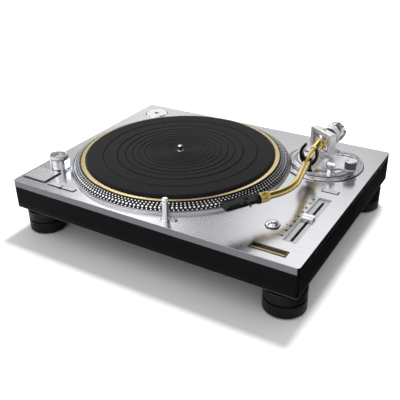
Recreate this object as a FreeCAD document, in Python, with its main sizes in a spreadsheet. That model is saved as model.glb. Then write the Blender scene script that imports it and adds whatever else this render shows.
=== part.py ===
"""Direct-drive turntable with a curved tonearm, built piece by piece in millimetres.

The origin is on the surface that the turntable stands on, under the middle of its plinth.
X points right, Y points back and Z points up. Heights of what stands on the deck are given
from the deck's top face, whose own height is deck_top.
"""
import FreeCAD, Part
import Sketcher
import math
import os
import re

SIZES = {
    # plinth, from the deck down
    "plinth_width": 453, "plinth_depth": 353, "corner_radius": 4, "deck_top": 85.6,
    "plate_thickness": 10, "chassis_height": 26.2, "chassis_wall": 6, "chassis_roof": 5,
    "base_thickness": 7, "skirt_inset": 4, "skirt_height": 6.8, "skirt_taper": 35,
    "seat_clearance": 0.3, "edge_chamfer": 0.4, "overcut": 1,
    # feet
    "foot_side_inset": 28.2, "foot_end_inset": 30.6, "foot_radius": 28.2, "foot_collar": 15,
    "foot_groove": 2, "foot_groove_depth": 2, "foot_seat_gap": 0.3, "foot_edge": 2.5,
    "collar_chamfer": 0.8, "stud_radius": 4, "stud_length": 20, "stud_clearance": 0.4,
    # platter
    "platter_shift": 44.9, "platter_offset": -2.1, "platter_end_room": 10.5,
    "platter_side_room": 60.5, "well_gap": 1.8,
    "platter_top": 11.2, "lip_top": 4.7, "lip_bottom": 1, "lip_chamfer": 0.5, "rim_bottom": -8,
    "rim_lean": 1.5, "rim_thickness": 7, "rim_draft": 1, "platter_floor": 5, "hub_radius": 20,
    "hub_bottom": -2,
    "rim_width": 15.2, "brass_thickness": 2, "brass_gap": 0.3,
    "mat_inset": 6.3, "mat_thickness": 3.7, "mat_hole": 4.9, "mat_edge": 0.8,
    "mat_recess_radius": 52, "mat_recess_depth": 0.5, "mat_recess_slope": 1,
    "spindle_radius": 3.6, "spindle_top": 26, "spindle_nose": 1.6, "spindle_taper": 1.6,
    "spindle_step": 1, "shaft_radius": 4, "shaft_bottom": -30, "shoulder_radius": 5.1,
    "shoulder_bottom": -4, "shoulder_sink": 0.2, "hub_clearance": 0.1,
    # motor
    "pot_radius": 84, "pot_wall": 6, "pot_depth": 21, "bearing_radius": 12, "bearing_top": -5,
    "bearing_clearance": 0.05, "bearing_flange": 22, "bearing_flange_height": 3, "shaft_end_gap": 0.2,
    "stator_gap": 2, "stator_radius": 78, "stator_height": 4,
    "coil_circle": 46, "coil_radius": 13, "coil_bore": 5, "coil_height": 13, "coil_count": 9,
    "rotor_inner": 24, "rotor_seat_radius": 40, "rotor_outer": 66, "rotor_top": -2, "rotor_bottom": -10,
    # strobe tower with its power dial
    "tower_room": 17.0824, "tower_bearing": 37.1641, "tower_radius": 14.1, "tower_height": 18,
    "tower_stem": 9, "tower_stem_depth": 14, "dial_gap": 0.3, "dial_height": 5, "dial_post": 5,
    "post_height": 2.8, "post_clearance": 0.2, "dial_chamfer": 0.7,
    "window_width": 13, "window_height": 13, "window_bottom": 3.5, "window_depth": 5,
    "window_bearing": 38, "window_gap": 0.15, "window_sink": 0.4,
    # pop-up lamp with its release button
    "lamp_offset": 78.5, "lamp_setback": 16.9, "lamp_radius": 4.7, "lamp_top": 31.5, "lamp_tail": 4,
    "lamp_edge": 0.6, "guide_wall": 2.3, "guide_depth": 14, "guide_rim": 0.4, "lamp_clearance": 0.1,
    "release_reach": 11.6, "release_back": 3.1, "release_radius": 3.2, "release_top": 1.6,
    # push buttons
    "button_gap": 0.5, "button_depth": 5,
    "start_inset": 27.7, "start_drop": 30.9, "start_width": 40, "start_length": 32, "start_top": 2.2,
    "speed_inset": 80, "speed_setback": 17.7, "speed_width": 23, "speed_length": 5.8, "speed_top": 1.2,
    "reset_inset": 34.7, "reset_gap": 22.2, "reset_width": 22.4, "reset_length": 7.5, "reset_top": 1,
    # speed slider
    "bed_inset": 33.3, "bed_setback": 106, "bed_width": 18.7, "bed_length": 121, "bed_depth": 3,
    "bed_wall": 0.8, "bed_thickness": 6, "slot_width": 4, "slot_length": 108, "bed_clearance": 0.2,
    "knob_width": 15.5, "knob_length": 10, "knob_height": 7, "knob_shoulder": 4.2, "knob_crest": 3.6,
    "knob_lift": 0.4, "knob_neck": 1.7, "knob_neck_depth": 6.5,
    # small things set into the deck
    "adaptor_inset": 36.1, "adaptor_back_inset": 33.3, "adaptor_radius": 19.1, "adaptor_height": 5.6,
    "adaptor_wall": 3.9, "adaptor_slope": 1.2, "adaptor_gap": 0.8, "adaptor_hole_gap": 0.15,
    "recess_depth": 4.5,
    "plug_inset": 67, "plug_setback": 71.1, "socket_radius": 8.4, "socket_bore": 6.3,
    "socket_depth": 9, "socket_floor": 1, "socket_rim": 0.8, "plug_radius": 6.1, "plug_dome": 5.5,
    "plug_gap": 0.3,
    "label_inset": 47.5, "label_setback": 19.3, "label_width": 48.2, "label_length": 13.3,
    "label_thickness": 0.7, "label_recess": 0.5,
    # tonearm base, placed from the arm's pivot
    "base_offset": 7.86, "base_forward": 12.13, "flange_radius": 58.5, "flange_height": 1.8,
    "bite_gap": 0.6, "boss_radius": 46, "boss_depth": 14, "sleeve_bore": 30.3,
    "ring_outer": 48.5, "ring_inner": 39, "ring_top": 8.2, "ring_gap": 0.4, "ring_edge": 0.8,
    "platform_radius": 38.5, "platform_top": 10.2, "platform_lip": 1.6, "platform_stem": 30,
    "stem_depth": 12,
    # tonearm
    "pivot_room": 49, "pivot_bearing": 29, "axis_height": 32,
    "yoke_turn": -31.3, "yoke_width": 47, "yoke_height": 33.6, "yoke_depth": 12, "yoke_bar": 5,
    "pillar_radius": 13, "pin_radius": 2, "pin_clearance": 0.08, "pin_reach": 2.5, "pin_end_gap": 0.5,
    "cap_radius": 3.4, "cap_height": 1.4,
    "gimbal_width": 31, "gimbal_height": 22, "gimbal_depth": 8, "gimbal_bar": 3,
    "tube_turn": 3.5, "tube_radius": 4.9, "tube_wall": 0.9, "tube_start": 12, "sway_at": 61.7,
    "sway_angle": 7.7, "sway_radius": 60, "bend_at": 101.8, "bend_angle": 43.2, "bend_radius": 70.5,
    "tube_end": 45,
    "hub_ball": 5.4, "spigot_length": 13.5, "sleeve_start": 13.5, "sleeve_end": 40,
    "sleeve_radius": 6.6, "sleeve_gap": 0.05, "sleeve_nose": 1, "sleeve_flange": 8.6,
    "sleeve_flange_width": 3,
    "rear_turn": -7, "rear_shaft": 3.5, "rear_end": 50, "weight_start": 27.3, "weight_end": 47,
    "weight_radius": 15.3, "weight_edge": 0.8, "weight_chamfer": 1.5, "weight_groove": 1,
    "groove_width": 2, "weight_hollow": 9, "weight_hollow_depth": 11, "weight_clearance": 0.08,
    "scale_start": 19, "scale_radius": 15, "scale_bevel": 3, "scale_gap": 0.3,
    "nut_start": 38.5, "nut_length": 14, "nut_radius": 6.7, "nut_chamfer": 1, "nut_slope": 2,
    "shell_start": 52.8, "shell_end": 104, "shell_width": 18, "shell_nose_width": 17.2,
    "shell_throat": 10.6, "shell_shoulder": 8, "shell_neck_length": 3, "shell_thickness": 2,
    "shell_rise": 4.5, "shell_wall": 1, "shell_drop": 5, "shell_slot_width": 2.4,
    "shell_slot_length": 15, "shell_slot_pitch": 12.7, "shell_slot_setback": 12.5,
    "shell_window_width": 4.5, "shell_window_length": 6, "shell_window_setback": 15,
    "shell_stub": 7, "shell_collar": 7, "shell_collar_length": 1.5, "shell_cone_length": 12,
    "shell_cone_end": 3,
    "finger_at": 76, "finger_foot": 5, "finger_reach": 12, "finger_sweep": 4, "finger_width": 4,
    "finger_thickness": 1.2,
    # arm rest, lifter and small controls of the arm, placed from the pivot or the arm's base
    "rest_at": 62, "rest_turn": 5, "rest_ear": 5.5, "post_radius": 2.2, "clip_length": 9,
    "clip_left": 2.2, "clip_high": 4, "clip_half_width": 13.3, "clip_half_height": 18,
    "clip_foot": 5, "clip_start": 117, "clip_sweep": 283, "grip_left": 1.7, "grip_high": 5.5,
    "grip_half_width": 9.3, "grip_half_height": 12.5,
    "lifter_at": 33, "lifter_width": 3, "lifter_height": 2.5, "lifter_gap": 0.35,
    "lifter_stem": 2.2, "lifter_stem_depth": 16, "lifter_hole_depth": 18, "swing_range": 42,
    "lifter_margin": 6, "lifter_stem_turn": 10,
    "skate_offset": 45.5, "skate_forward": 13, "skate_radius": 8.5, "skate_top": 22, "skate_ear": 10,
    "cue_offset": 16, "cue_forward": 28, "cue_height": 16, "cue_hub": 3.6, "cue_hub_length": 12,
    "cue_pin": 1.8, "lug_width": 6, "lug_length": 11, "lug_top": 21, "cue_arm_width": 5,
    "cue_reach": 20.5, "cue_arm_thickness": 2.6, "cue_tab": 3, "cue_tab_drop": 8,
    "lock_offset": 18, "lock_back": 23, "lock_radius": 5, "lock_height": 2.6, "lock_bar": 1.6,
    "lock_bar_width": 5, "lock_reach": 15, "lock_pin_depth": 4,
    # back panel and what is on it, placed from the niche's middle
    "niche_inset": 141.5, "niche_width": 130, "niche_depth": 16, "niche_top": 15,
    "panel_thickness": 1.5, "panel_gap": 0.3, "terminal_drop": 25.5,
    "jack_offset": -43, "jack_pitch": 18, "jack_radius": 4.15, "jack_length": 9, "jack_flange": 5.5,
    "jack_flange_width": 1.2, "jack_stub": 3, "jack_tail": 4, "jack_bore": 1.7, "jack_core": 0.9,
    "hole_clearance": 0.1,
    "earth_offset": -5, "earth_radius": 4.5, "earth_neck": 1.5, "earth_length": 9, "earth_chamfer": 1,
    "inlet_offset": 35, "inlet_width": 27, "inlet_height": 19, "inlet_length": 16, "inlet_wall": 1.5,
    "inlet_floor": 2, "blade_width": 2.2, "blade_height": 4.4, "blade_pitch": 8, "blade_length": 9,
    # inside
    "board_inset": 96.5, "board_forward": 70, "board_width": 120, "board_length": 100,
    "board_thickness": 1.6, "standoff": 3, "standoff_radius": 2.5, "standoff_inset": 5,
    "chip_width": 19, "chip_length": 16, "chip_height": 2.4, "chip_pitch": 36,
    "supply_inset": 88.5, "supply_back_inset": 64.5, "supply_width": 76, "supply_length": 52,
    "supply_height": 15, "vent_width": 46, "vent_length": 2.6, "vent_pitch": 6.2, "vent_depth": 1.5,
    "vent_count": 5,
    # screws under the skirt
    "screw_side_inset": 76.5, "screw_end_inset": 26.5, "screw_middle_inset": 40, "screw_radius": 4, "screw_height": 2.5,
    "shank_radius": 1.6, "shank_clearance": 0.3, "thread_depth": 10, "boss_wall": 3.4,
}

# Places and lengths worked out from the sizes, and so moved by them
PLACES = {
    "half_width": "plinth_width / 2",
    "half_depth": "plinth_depth / 2",
    "chassis_bottom": "deck_top - plate_thickness - chassis_height",
    "base_bottom": "chassis_bottom - base_thickness",
    "skirt_bottom": "base_bottom - skirt_height",
    "foot_x": "half_width - foot_side_inset",
    "foot_y": "half_depth - foot_end_inset",
    "screw_x": "half_width - screw_side_inset",
    "screw_y": "half_depth - screw_end_inset",
    "screw_middle_x": "half_width - screw_middle_inset",
    "platter_x": "-platter_shift",
    "platter_y": "platter_offset",
    "platter_radius": "min(half_depth - platter_end_room; half_width - platter_side_room)",
    "brass_radius": "platter_radius - rim_width",
    "mat_radius": "brass_radius - mat_inset",
    "well_radius": "platter_radius + well_gap",
    "brim_top": "platter_top + brass_thickness",
    "mat_top": "brim_top + mat_thickness",
    "pot_floor": "-plate_thickness - pot_depth",
    "tower_x": "platter_x - (platter_radius + tower_room) * cos(tower_bearing)",
    "tower_y": "platter_y - (platter_radius + tower_room) * sin(tower_bearing)",
    "lamp_x": "platter_x + lamp_offset",
    "lamp_y": "lamp_setback - half_depth",
    "guide_radius": "lamp_radius + lamp_clearance + guide_wall",
    "release_x": "lamp_x + release_reach",
    "release_y": "lamp_y + release_back",
    "start_x": "start_inset - half_width",
    "start_y": "tower_y - start_drop",
    "speed_x": "speed_inset - half_width",
    "speed_y": "speed_setback - half_depth",
    "bed_x": "half_width - bed_inset",
    "bed_y": "bed_setback - half_depth",
    "reset_x": "half_width - reset_inset",
    "reset_y": "bed_y + bed_length / 2 + reset_gap",
    "adaptor_x": "adaptor_inset - half_width",
    "adaptor_y": "half_depth - adaptor_back_inset",
    "plug_x": "half_width - plug_inset",
    "plug_y": "plug_setback - half_depth",
    "label_x": "half_width - label_inset",
    "label_y": "label_setback - half_depth",
    "pivot_reach": "platter_radius + pivot_room",
    "pivot_x": "platter_x + pivot_reach * cos(pivot_bearing)",
    "pivot_y": "platter_y + pivot_reach * sin(pivot_bearing)",
    "axis_z": "deck_top + axis_height",
    "base_x": "pivot_x + base_offset",
    "base_y": "pivot_y - base_forward",
    "ring_bottom": "flange_height + ring_gap",
    "reach_turn": "tube_turn + sway_angle",
    "head_turn": "reach_turn - bend_angle",
    "head_x": "pivot_x + sway_at * sin(tube_turn) + bend_at * sin(reach_turn)",
    "head_y": "pivot_y - sway_at * cos(tube_turn) - bend_at * cos(reach_turn)",
    "rest_x": "pivot_x + rest_at * sin(rest_turn)",
    "rest_y": "pivot_y - rest_at * cos(rest_turn)",
    "lifter_top": "axis_height - sleeve_radius - lifter_gap",
    "stem_x": "pivot_x + lifter_at * sin(tube_turn - lifter_stem_turn)",
    "stem_y": "pivot_y - lifter_at * cos(tube_turn - lifter_stem_turn)",
    "skate_x": "base_x + skate_offset",
    "skate_y": "base_y - skate_forward",
    "cue_x": "base_x + cue_offset",
    "cue_y": "base_y - cue_forward",
    "lock_x": "base_x + lock_offset",
    "lock_y": "base_y + lock_back",
    "niche_x": "half_width - niche_inset",
    "niche_y": "half_depth - niche_depth",
    "panel_y": "niche_y + panel_gap",
    "panel_face": "panel_y + panel_thickness",
    "terminal_z": "deck_top - terminal_drop",
    "inlet_x": "niche_x + inlet_offset",
    "board_x": "half_width - board_inset",
    "board_y": "-board_forward",
    "supply_x": "half_width - supply_inset",
    "supply_y": "half_depth - supply_back_inset",
}

CLIP_STEPS = 12

doc = FreeCAD.newDocument("turntable")
sheet = doc.addObject("Spreadsheet::Sheet", "dim")
for row, (alias, size) in enumerate(SIZES.items(), start=1):
    sheet.set("A%d" % row, alias)
    sheet.set("B%d" % row, str(size))
    sheet.setAlias("B%d" % row, alias)
doc.recompute()


def sized(text):
    """The expression in which each place is worked out and each size reads its cell."""
    def known(word):
        if word[0] in PLACES:
            return "(%s)" % sized(PLACES[word[0]])
        if word[0] in SIZES:
            return "dim." + word[0]
        return word[0]
    return re.sub(r"[a-z_]+", known, text)


def value(text):
    """The number that an expression has now."""
    return float(sheet.evalExpression(sized(text)))


def bind(piece, **sizes):
    for name, text in sizes.items():
        piece.setExpression(name, sized(text))


def bind_base(piece, x, y, z):
    for axis, text in (("x", x), ("y", y), ("z", z)):
        piece.setExpression("Placement.Base." + axis, sized(text))


def put(piece, x="0", y="0", z="0", turn=None):
    """Place a piece, turned about the upright axis by the angle that turn gives."""
    upright = FreeCAD.Vector(0, 0, 1)
    heading = FreeCAD.Rotation(upright, value(turn) if turn else 0)
    piece.Placement = FreeCAD.Placement(FreeCAD.Vector(value(x), value(y), value(z)), heading)
    bind_base(piece, x, y, z)
    if turn:
        piece.setExpression("Placement.Rotation.Angle", sized(turn))
    return piece


def over_deck(level):
    """Height of something given from the deck's top face."""
    return "deck_top + (%s)" % level


def cylinder(name, radius, height, x="0", y="0", z="0"):
    piece = doc.addObject("Part::Cylinder", name)
    bind(piece, Radius=radius, Height=height)
    return put(piece, x, y, z)


def lying_cylinder(name, radius, height, x, y, z, axis):
    """Cylinder that starts at a place and lies along an axis given as a vector."""
    piece = doc.addObject("Part::Cylinder", name)
    bind(piece, Radius=radius, Height=height)
    piece.Placement.Rotation = FreeCAD.Rotation(FreeCAD.Vector(0, 0, 1), axis)
    bind_base(piece, x, y, z)
    return piece


def block(name, width, length, height, x="0", y="0", z="0", turn=None):
    """Box with its corner of lowest X, Y and Z at the place given."""
    piece = doc.addObject("Part::Box", name)
    bind(piece, Length=width, Width=length, Height=height)
    return put(piece, x, y, z, turn)


def middle_block(name, width, length, height, x, y, z):
    """Box centred over a place in X and Y."""
    return block(name, width, length, height, "%s - (%s) / 2" % (x, width), "%s - (%s) / 2" % (y, length), z)


def cut(name, base, *tools):
    for number, tool in enumerate(tools, start=1):
        last = number == len(tools)
        piece = doc.addObject("Part::Cut", name if last else "%s_cut_%d" % (name, number))
        piece.Base = base
        piece.Tool = tool
        base = piece
    return base


def fuse(name, *pieces):
    whole = doc.addObject("Part::MultiFuse", name)
    whole.Shapes = list(pieces)
    return whole


def group(name, *pieces):
    """Separate solids that share one node."""
    whole = doc.addObject("Part::Compound", name)
    whole.Links = list(pieces)
    return whole


def hold(sketch, kind, line, point, text):
    """Keep one coordinate of a sketch point, measured from the sketch's origin, at a size."""
    rule = sketch.addConstraint(Sketcher.Constraint(kind, -1, 1, line, point, value(text)))
    if text != "0":
        sketch.setExpression("Constraints[%d]" % rule, sized(text))


def add_outline(sketch, points):
    """Closed outline of straight lines, each corner held at its own two sizes."""
    spots = [FreeCAD.Vector(value(u), value(v), 0) for u, v in points]
    if len(set(map(tuple, spots))) < len(spots):
        raise RuntimeError(sketch.Name + " has two corners in one place")
    first = sketch.GeometryCount
    for number, spot in enumerate(spots):
        sketch.addGeometry(Part.LineSegment(spot, spots[(number + 1) % len(spots)]))
    for number, (u, v) in enumerate(points):
        line = first + number
        following = first + (number + 1) % len(points)
        sketch.addConstraint(Sketcher.Constraint("Coincident", line, 2, following, 1))
        hold(sketch, "DistanceX", line, 1, u)
        hold(sketch, "DistanceY", line, 1, v)


def add_circle(sketch, x, y, radius):
    centre = FreeCAD.Vector(value(x), value(y), 0)
    number = sketch.addGeometry(Part.Circle(centre, FreeCAD.Vector(0, 0, 1), value(radius)))
    hold(sketch, "DistanceX", number, 3, x)
    hold(sketch, "DistanceY", number, 3, y)
    rule = sketch.addConstraint(Sketcher.Constraint("Radius", number, value(radius)))
    sketch.setExpression("Constraints[%d]" % rule, sized(radius))


def new_sketch(body, name, plane="XY_Plane", level=None):
    """Sketch on one of the body's own planes, raised by level along the plane's normal."""
    sketch = body.newObject("Sketcher::SketchObject", name)
    own_plane = [item for item in body.Origin.OriginFeatures if item.Role == plane][0]
    sketch.AttachmentSupport = (own_plane, [""])
    sketch.MapMode = "FlatFace"
    if level:
        sketch.setExpression("AttachmentOffset.Base.z", sized(level))
    return sketch


def rectangle(x, y, width, length):
    left, right = "%s - (%s) / 2" % (x, width), "%s + (%s) / 2" % (x, width)
    front, back = "%s - (%s) / 2" % (y, length), "%s + (%s) / 2" % (y, length)
    return [(left, front), (right, front), (right, back), (left, back)]


def turned(name, profile, x="0", y="0", z="0", turn=None, lying=False):
    """Body turned on a lathe. Upright, its profile is radius and height; lying, it is
    distance along the body's own Y axis and radius."""
    body = doc.addObject("PartDesign::Body", name)
    sketch = new_sketch(body, name + "_profile", "YZ_Plane" if lying else "XZ_Plane")
    add_outline(sketch, profile)
    lathe = body.newObject("PartDesign::Revolution", name + "_turning")
    lathe.Profile = sketch
    lathe.ReferenceAxis = (sketch, ["H_Axis" if lying else "V_Axis"])
    lathe.Angle = 360
    return put(body, x, y, z, turn)


def plate(name, height, outlines=(), circles=(), x="0", y="0", z="0", turn=None, upright=False):
    """Body of even thickness. Flat, it rises from its outline; upright, its outline stands
    in the body's XZ plane and its thickness lies half in front of it and half behind."""
    body = doc.addObject("PartDesign::Body", name)
    sketch = new_sketch(body, name + "_outline", "XZ_Plane" if upright else "XY_Plane")
    for points in outlines:
        add_outline(sketch, points)
    for circle in circles:
        add_circle(sketch, *circle)
    pad = body.newObject("PartDesign::Pad", name + "_pad")
    pad.Profile = sketch
    pad.Midplane = upright
    bind(pad, Length=height)
    return put(body, x, y, z, turn)


def pocket(body, name, depth, outlines=(), circles=(), level=None, upward=False):
    """Cut down from a level of the body, or up from it, and check that material came away."""
    doc.recompute()
    before = body.Shape.Volume
    sketch = new_sketch(body, name + "_outline", "XY_Plane", level)
    for points in outlines:
        add_outline(sketch, points)
    for circle in circles:
        add_circle(sketch, *circle)
    hollow = body.newObject("PartDesign::Pocket", name)
    hollow.Profile = sketch
    hollow.Reversed = upward
    bind(hollow, Length=depth)
    doc.recompute()
    if not body.Shape.Volume < before:
        raise RuntimeError(name + " cuts nothing")


def round_corners(body, radius):
    """Round the upright edges of a body."""
    doc.recompute()
    feature = body.Tip
    uprights = []
    for number, edge in enumerate(feature.Shape.Edges, start=1):
        if abs(edge.tangentAt(edge.FirstParameter).z) > 0.99:
            uprights.append("Edge%d" % number)
    fillet = body.newObject("PartDesign::Fillet", feature.Name + "_corners")
    fillet.Base = (feature, uprights)
    bind(fillet, Radius=radius)


def slab(name, height, z):
    """Layer of the plinth, as wide and deep as it is, with rounded corners."""
    body = plate(name, height, [rectangle("0", "0", "plinth_width", "plinth_depth")], z=z)
    round_corners(body, "corner_radius")
    return body


def deck_holes():
    """Round holes that go through the deck plate and the roof under it."""
    return [("base_x", "base_y", "boss_radius + seat_clearance"),
            ("tower_x", "tower_y", "tower_stem + seat_clearance"),
            ("lamp_x", "lamp_y", "guide_radius + seat_clearance")]


def foot_circles(radius):
    return [("%s * foot_x" % side, "%s * foot_y" % end, radius)
            for side in ("-1", "1") for end in ("-1", "1")]


def screw_circles(radius):
    rows = (("screw_x", "-screw_y"), ("screw_middle_x", "0"), ("screw_x", "screw_y"))
    return [("%s * %s" % (side, x), y, radius) for side in ("-1", "1") for x, y in rows]


# Aluminium deck plate, with its well, recesses and holes
def make_top_plate():
    body = slab("top_plate", "plate_thickness", over_deck("-plate_thickness"))
    holes = deck_holes() + [
        ("platter_x", "platter_y", "well_radius"),
        ("release_x", "release_y", "release_radius + button_gap"),
        ("plug_x", "plug_y", "socket_radius + seat_clearance")]
    openings = [
        rectangle("start_x", "start_y", "start_width + 2 * button_gap", "start_length + 2 * button_gap"),
        rectangle("speed_x", "speed_y", "2 * speed_width + 3 * button_gap", "speed_length + 2 * button_gap"),
        rectangle("reset_x", "reset_y", "reset_width + 2 * button_gap", "reset_length + 2 * button_gap"),
        rectangle("bed_x", "bed_y", "bed_width", "bed_length")]
    pocket(body, "deck_openings", "plate_thickness", openings, holes, level="plate_thickness")
    pocket(body, "adaptor_recess", "recess_depth",
           circles=[("adaptor_x", "adaptor_y", "adaptor_radius + adaptor_gap")], level="plate_thickness")
    bed = rectangle("label_x", "label_y", "label_width + 2 * seat_clearance",
                    "label_length + 2 * seat_clearance")
    pocket(body, "label_bed", "label_recess", [bed], level="plate_thickness")
    return body


# Die-cast walls under the plate, with a niche in the back one
def make_walls():
    body = slab("chassis_walls", "chassis_height", "chassis_bottom")
    inside = rectangle("0", "0", "plinth_width - 2 * chassis_wall", "plinth_depth - 2 * chassis_wall")
    pocket(body, "walls_inside", "chassis_height", [inside], level="chassis_height")
    niche = rectangle("niche_x", "niche_y + niche_depth / 2 + overcut", "niche_width",
                      "niche_depth + 2 * overcut")
    pocket(body, "back_niche", "chassis_height + plate_thickness - niche_top", [niche], upward=True)
    return body


# Roof between the walls, which carries the deck plate, with bosses under it for the screws
def make_roof():
    width, length = "plinth_width - 2 * chassis_wall", "plinth_depth - 2 * chassis_wall"
    holes = deck_holes() + [("platter_x", "platter_y", "pot_radius + pot_wall")]
    sheet = plate("roof_sheet", "chassis_roof", [rectangle("0", "0", width, length)], holes,
                  z=over_deck("-plate_thickness - chassis_roof"))
    pillars, threads = [], []
    for x, y, radius in screw_circles("shank_radius"):
        number = len(pillars)
        pillars.append(cylinder("boss_pillar_%d" % number, "boss_wall + shank_radius",
                                "chassis_height - chassis_roof / 2", x, y, "chassis_bottom"))
        threads.append(cylinder("boss_thread_%d" % number, radius, "thread_depth", x, y, "chassis_bottom"))
    return cut("chassis_roof", fuse("roof_and_bosses", sheet, *pillars), *threads)


# Round pot let into the roof, open to the platter, for the motor
def make_pot():
    outer = "pot_radius + pot_wall"
    return turned("motor_pot", [
        ("0", "-plate_thickness - chassis_height"), (outer, "-plate_thickness - chassis_height"),
        (outer, "-plate_thickness"), ("pot_radius", "-plate_thickness"), ("pot_radius", "pot_floor"),
        ("0", "pot_floor")], "platter_x", "platter_y", "deck_top")


# Moulded base under the chassis, bored for feet and screws
def make_base():
    body = slab("base_plate", "base_thickness", "base_bottom")
    holes = foot_circles("stud_radius + stud_clearance") + screw_circles("shank_radius + shank_clearance")
    pocket(body, "base_holes", "base_thickness", circles=holes, level="base_thickness")
    return body


# Soft skirt drawn in below the base, with sunk seats for the screw heads
def make_skirt():
    body = doc.addObject("PartDesign::Body", "rubber_base")
    sketch = new_sketch(body, "rubber_base_outline")
    add_outline(sketch, rectangle("0", "0", "plinth_width - 2 * skirt_inset",
                                  "plinth_depth - 2 * skirt_inset"))
    pad = body.newObject("PartDesign::Pad", "rubber_base_pad")
    pad.Profile = sketch
    pad.Reversed = True
    bind(pad, Length="skirt_height", TaperAngle="-skirt_taper")
    put(body, z="base_bottom")
    holes = foot_circles("stud_radius + stud_clearance") + screw_circles("shank_radius + shank_clearance")
    pocket(body, "skirt_holes", "skirt_height", circles=holes)
    pocket(body, "head_seats", "screw_height + shank_clearance", level="-skirt_height", upward=True,
           circles=screw_circles("screw_radius + shank_clearance"))
    return body


# Screws up through skirt and base into the bosses of the chassis, heads sunk in the skirt
def make_screws():
    seat = "screw_height + shank_clearance"
    end = "skirt_height + base_thickness + thread_depth - shank_clearance"
    screws = []
    for x, y, radius in screw_circles("shank_radius"):
        screws.append(turned("screw_%d" % len(screws), [
            ("0", "shank_clearance"), ("screw_radius", "shank_clearance"), ("screw_radius", seat),
            (radius, seat), (radius, end), ("0", end)], x, y, "skirt_bottom"))
    return group("base_screws", *screws)


# A foot: collar on a stud, a groove, and a soft pad under it
def make_foot(name, side, end):
    top = "skirt_bottom - foot_seat_gap"
    groove_top = top + " - foot_collar"
    pad_top = groove_top + " - foot_groove"
    x, y = "%s * foot_x" % side, "%s * foot_y" % end
    collar = turned(name + "_collar", [
        ("0", groove_top), ("foot_radius - collar_chamfer", groove_top),
        ("foot_radius", groove_top + " + collar_chamfer"), ("foot_radius", top + " - collar_chamfer"),
        ("foot_radius - collar_chamfer", top), ("stud_radius", top),
        ("stud_radius", top + " + stud_length"), ("0", top + " + stud_length")], x, y)
    pad = turned(name + "_pad", [
        ("0", "0"), ("foot_radius - foot_edge", "0"), ("foot_radius", "foot_edge"),
        ("foot_radius", pad_top), ("foot_radius - foot_groove_depth", pad_top),
        ("foot_radius - foot_groove_depth", groove_top), ("0", groove_top)], x, y)
    return group(name, collar, pad)


# Platter with its sloping strobe rim, which reaches down into the well
def make_platter():
    bore = "shoulder_radius + hub_clearance"
    rim_inside = "platter_radius - rim_thickness"
    return turned("platter", [
        (bore, "platter_top"), ("brass_radius + brass_gap", "platter_top"),
        ("brass_radius + brass_gap", "brim_top"), ("platter_radius - lip_chamfer", "lip_top + lip_chamfer"),
        ("platter_radius", "lip_top"), ("platter_radius", "lip_bottom"),
        ("platter_radius - rim_lean", "rim_bottom"), (rim_inside, "rim_bottom"),
        (rim_inside + " - rim_draft", "platter_floor"), ("hub_radius", "platter_floor"),
        ("hub_radius", "hub_bottom"), (bore, "hub_bottom")], "platter_x", "platter_y", "deck_top")


def make_brass_plate():
    bore = "shoulder_radius + hub_clearance"
    return turned("brass_plate", [
        (bore, "platter_top"), ("brass_radius", "platter_top"), ("brass_radius", "brim_top - edge_chamfer"),
        ("brass_radius - edge_chamfer", "brim_top"), (bore, "brim_top")],
        "platter_x", "platter_y", "deck_top")


# Soft mat with a shallow recess for a record's label
def make_mat():
    dip = "mat_top - mat_recess_depth"
    return turned("platter_mat", [
        ("mat_hole", "brim_top"), ("mat_radius", "brim_top"), ("mat_radius", "mat_top - mat_edge"),
        ("mat_radius - mat_edge", "mat_top"), ("mat_recess_radius + mat_recess_slope", "mat_top"),
        ("mat_recess_radius", dip), ("mat_hole", dip)], "platter_x", "platter_y", "deck_top")


# Spindle: shaft below, shoulder in the platter's hub, and the pin that a record goes over
def make_spindle():
    shoulder_top = "brim_top - shoulder_sink"
    return turned("spindle", [
        ("0", "shaft_bottom"), ("shaft_radius", "shaft_bottom"), ("shaft_radius", "shoulder_bottom"),
        ("shoulder_radius", "shoulder_bottom"), ("shoulder_radius", shoulder_top),
        ("spindle_radius + spindle_step", shoulder_top), ("spindle_radius + spindle_step", "mat_top"),
        ("spindle_radius", "mat_top"), ("spindle_radius", "spindle_top - spindle_taper"),
        ("spindle_nose", "spindle_top"), ("0", "spindle_top")], "platter_x", "platter_y", "deck_top")


def make_rotor():
    return turned("rotor_magnet", [
        ("rotor_inner", "rotor_bottom"), ("rotor_outer", "rotor_bottom"), ("rotor_outer", "rotor_top"),
        ("rotor_seat_radius", "rotor_top"), ("rotor_seat_radius", "platter_floor"),
        ("rotor_inner", "platter_floor")], "platter_x", "platter_y", "deck_top")


# Bearing, stator and coils on the floor of the pot
def make_bearing():
    bore = "shaft_radius + bearing_clearance"
    flange_top = "pot_floor + bearing_flange_height"
    cup = "shaft_bottom - shaft_end_gap"
    return turned("bearing_housing", [
        ("0", "pot_floor"), ("bearing_flange", "pot_floor"), ("bearing_flange", flange_top),
        ("bearing_radius", flange_top), ("bearing_radius", "bearing_top"), (bore, "bearing_top"),
        (bore, cup), ("0", cup)], "platter_x", "platter_y", "deck_top")


def make_stator():
    inner = "bearing_flange + stator_gap"
    top = "pot_floor + stator_height"
    return turned("motor_stator", [
        (inner, "pot_floor"), ("stator_radius", "pot_floor"), ("stator_radius", top), (inner, top)],
        "platter_x", "platter_y", "deck_top")


def make_coils():
    coils = []
    z = over_deck("pot_floor + stator_height")
    for number in range(SIZES["coil_count"]):
        turn = "%d * 360 / coil_count" % number
        x = "platter_x + coil_circle * cos(%s)" % turn
        y = "platter_y + coil_circle * sin(%s)" % turn
        coil = cylinder("coil_%d_body" % number, "coil_radius", "coil_height", x, y, z)
        core = cylinder("coil_%d_core" % number, "coil_bore", "coil_height", x, y, z)
        coils.append(cut("coil_%d" % number, coil, core))
    return group("stator_coils", *coils)


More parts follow.
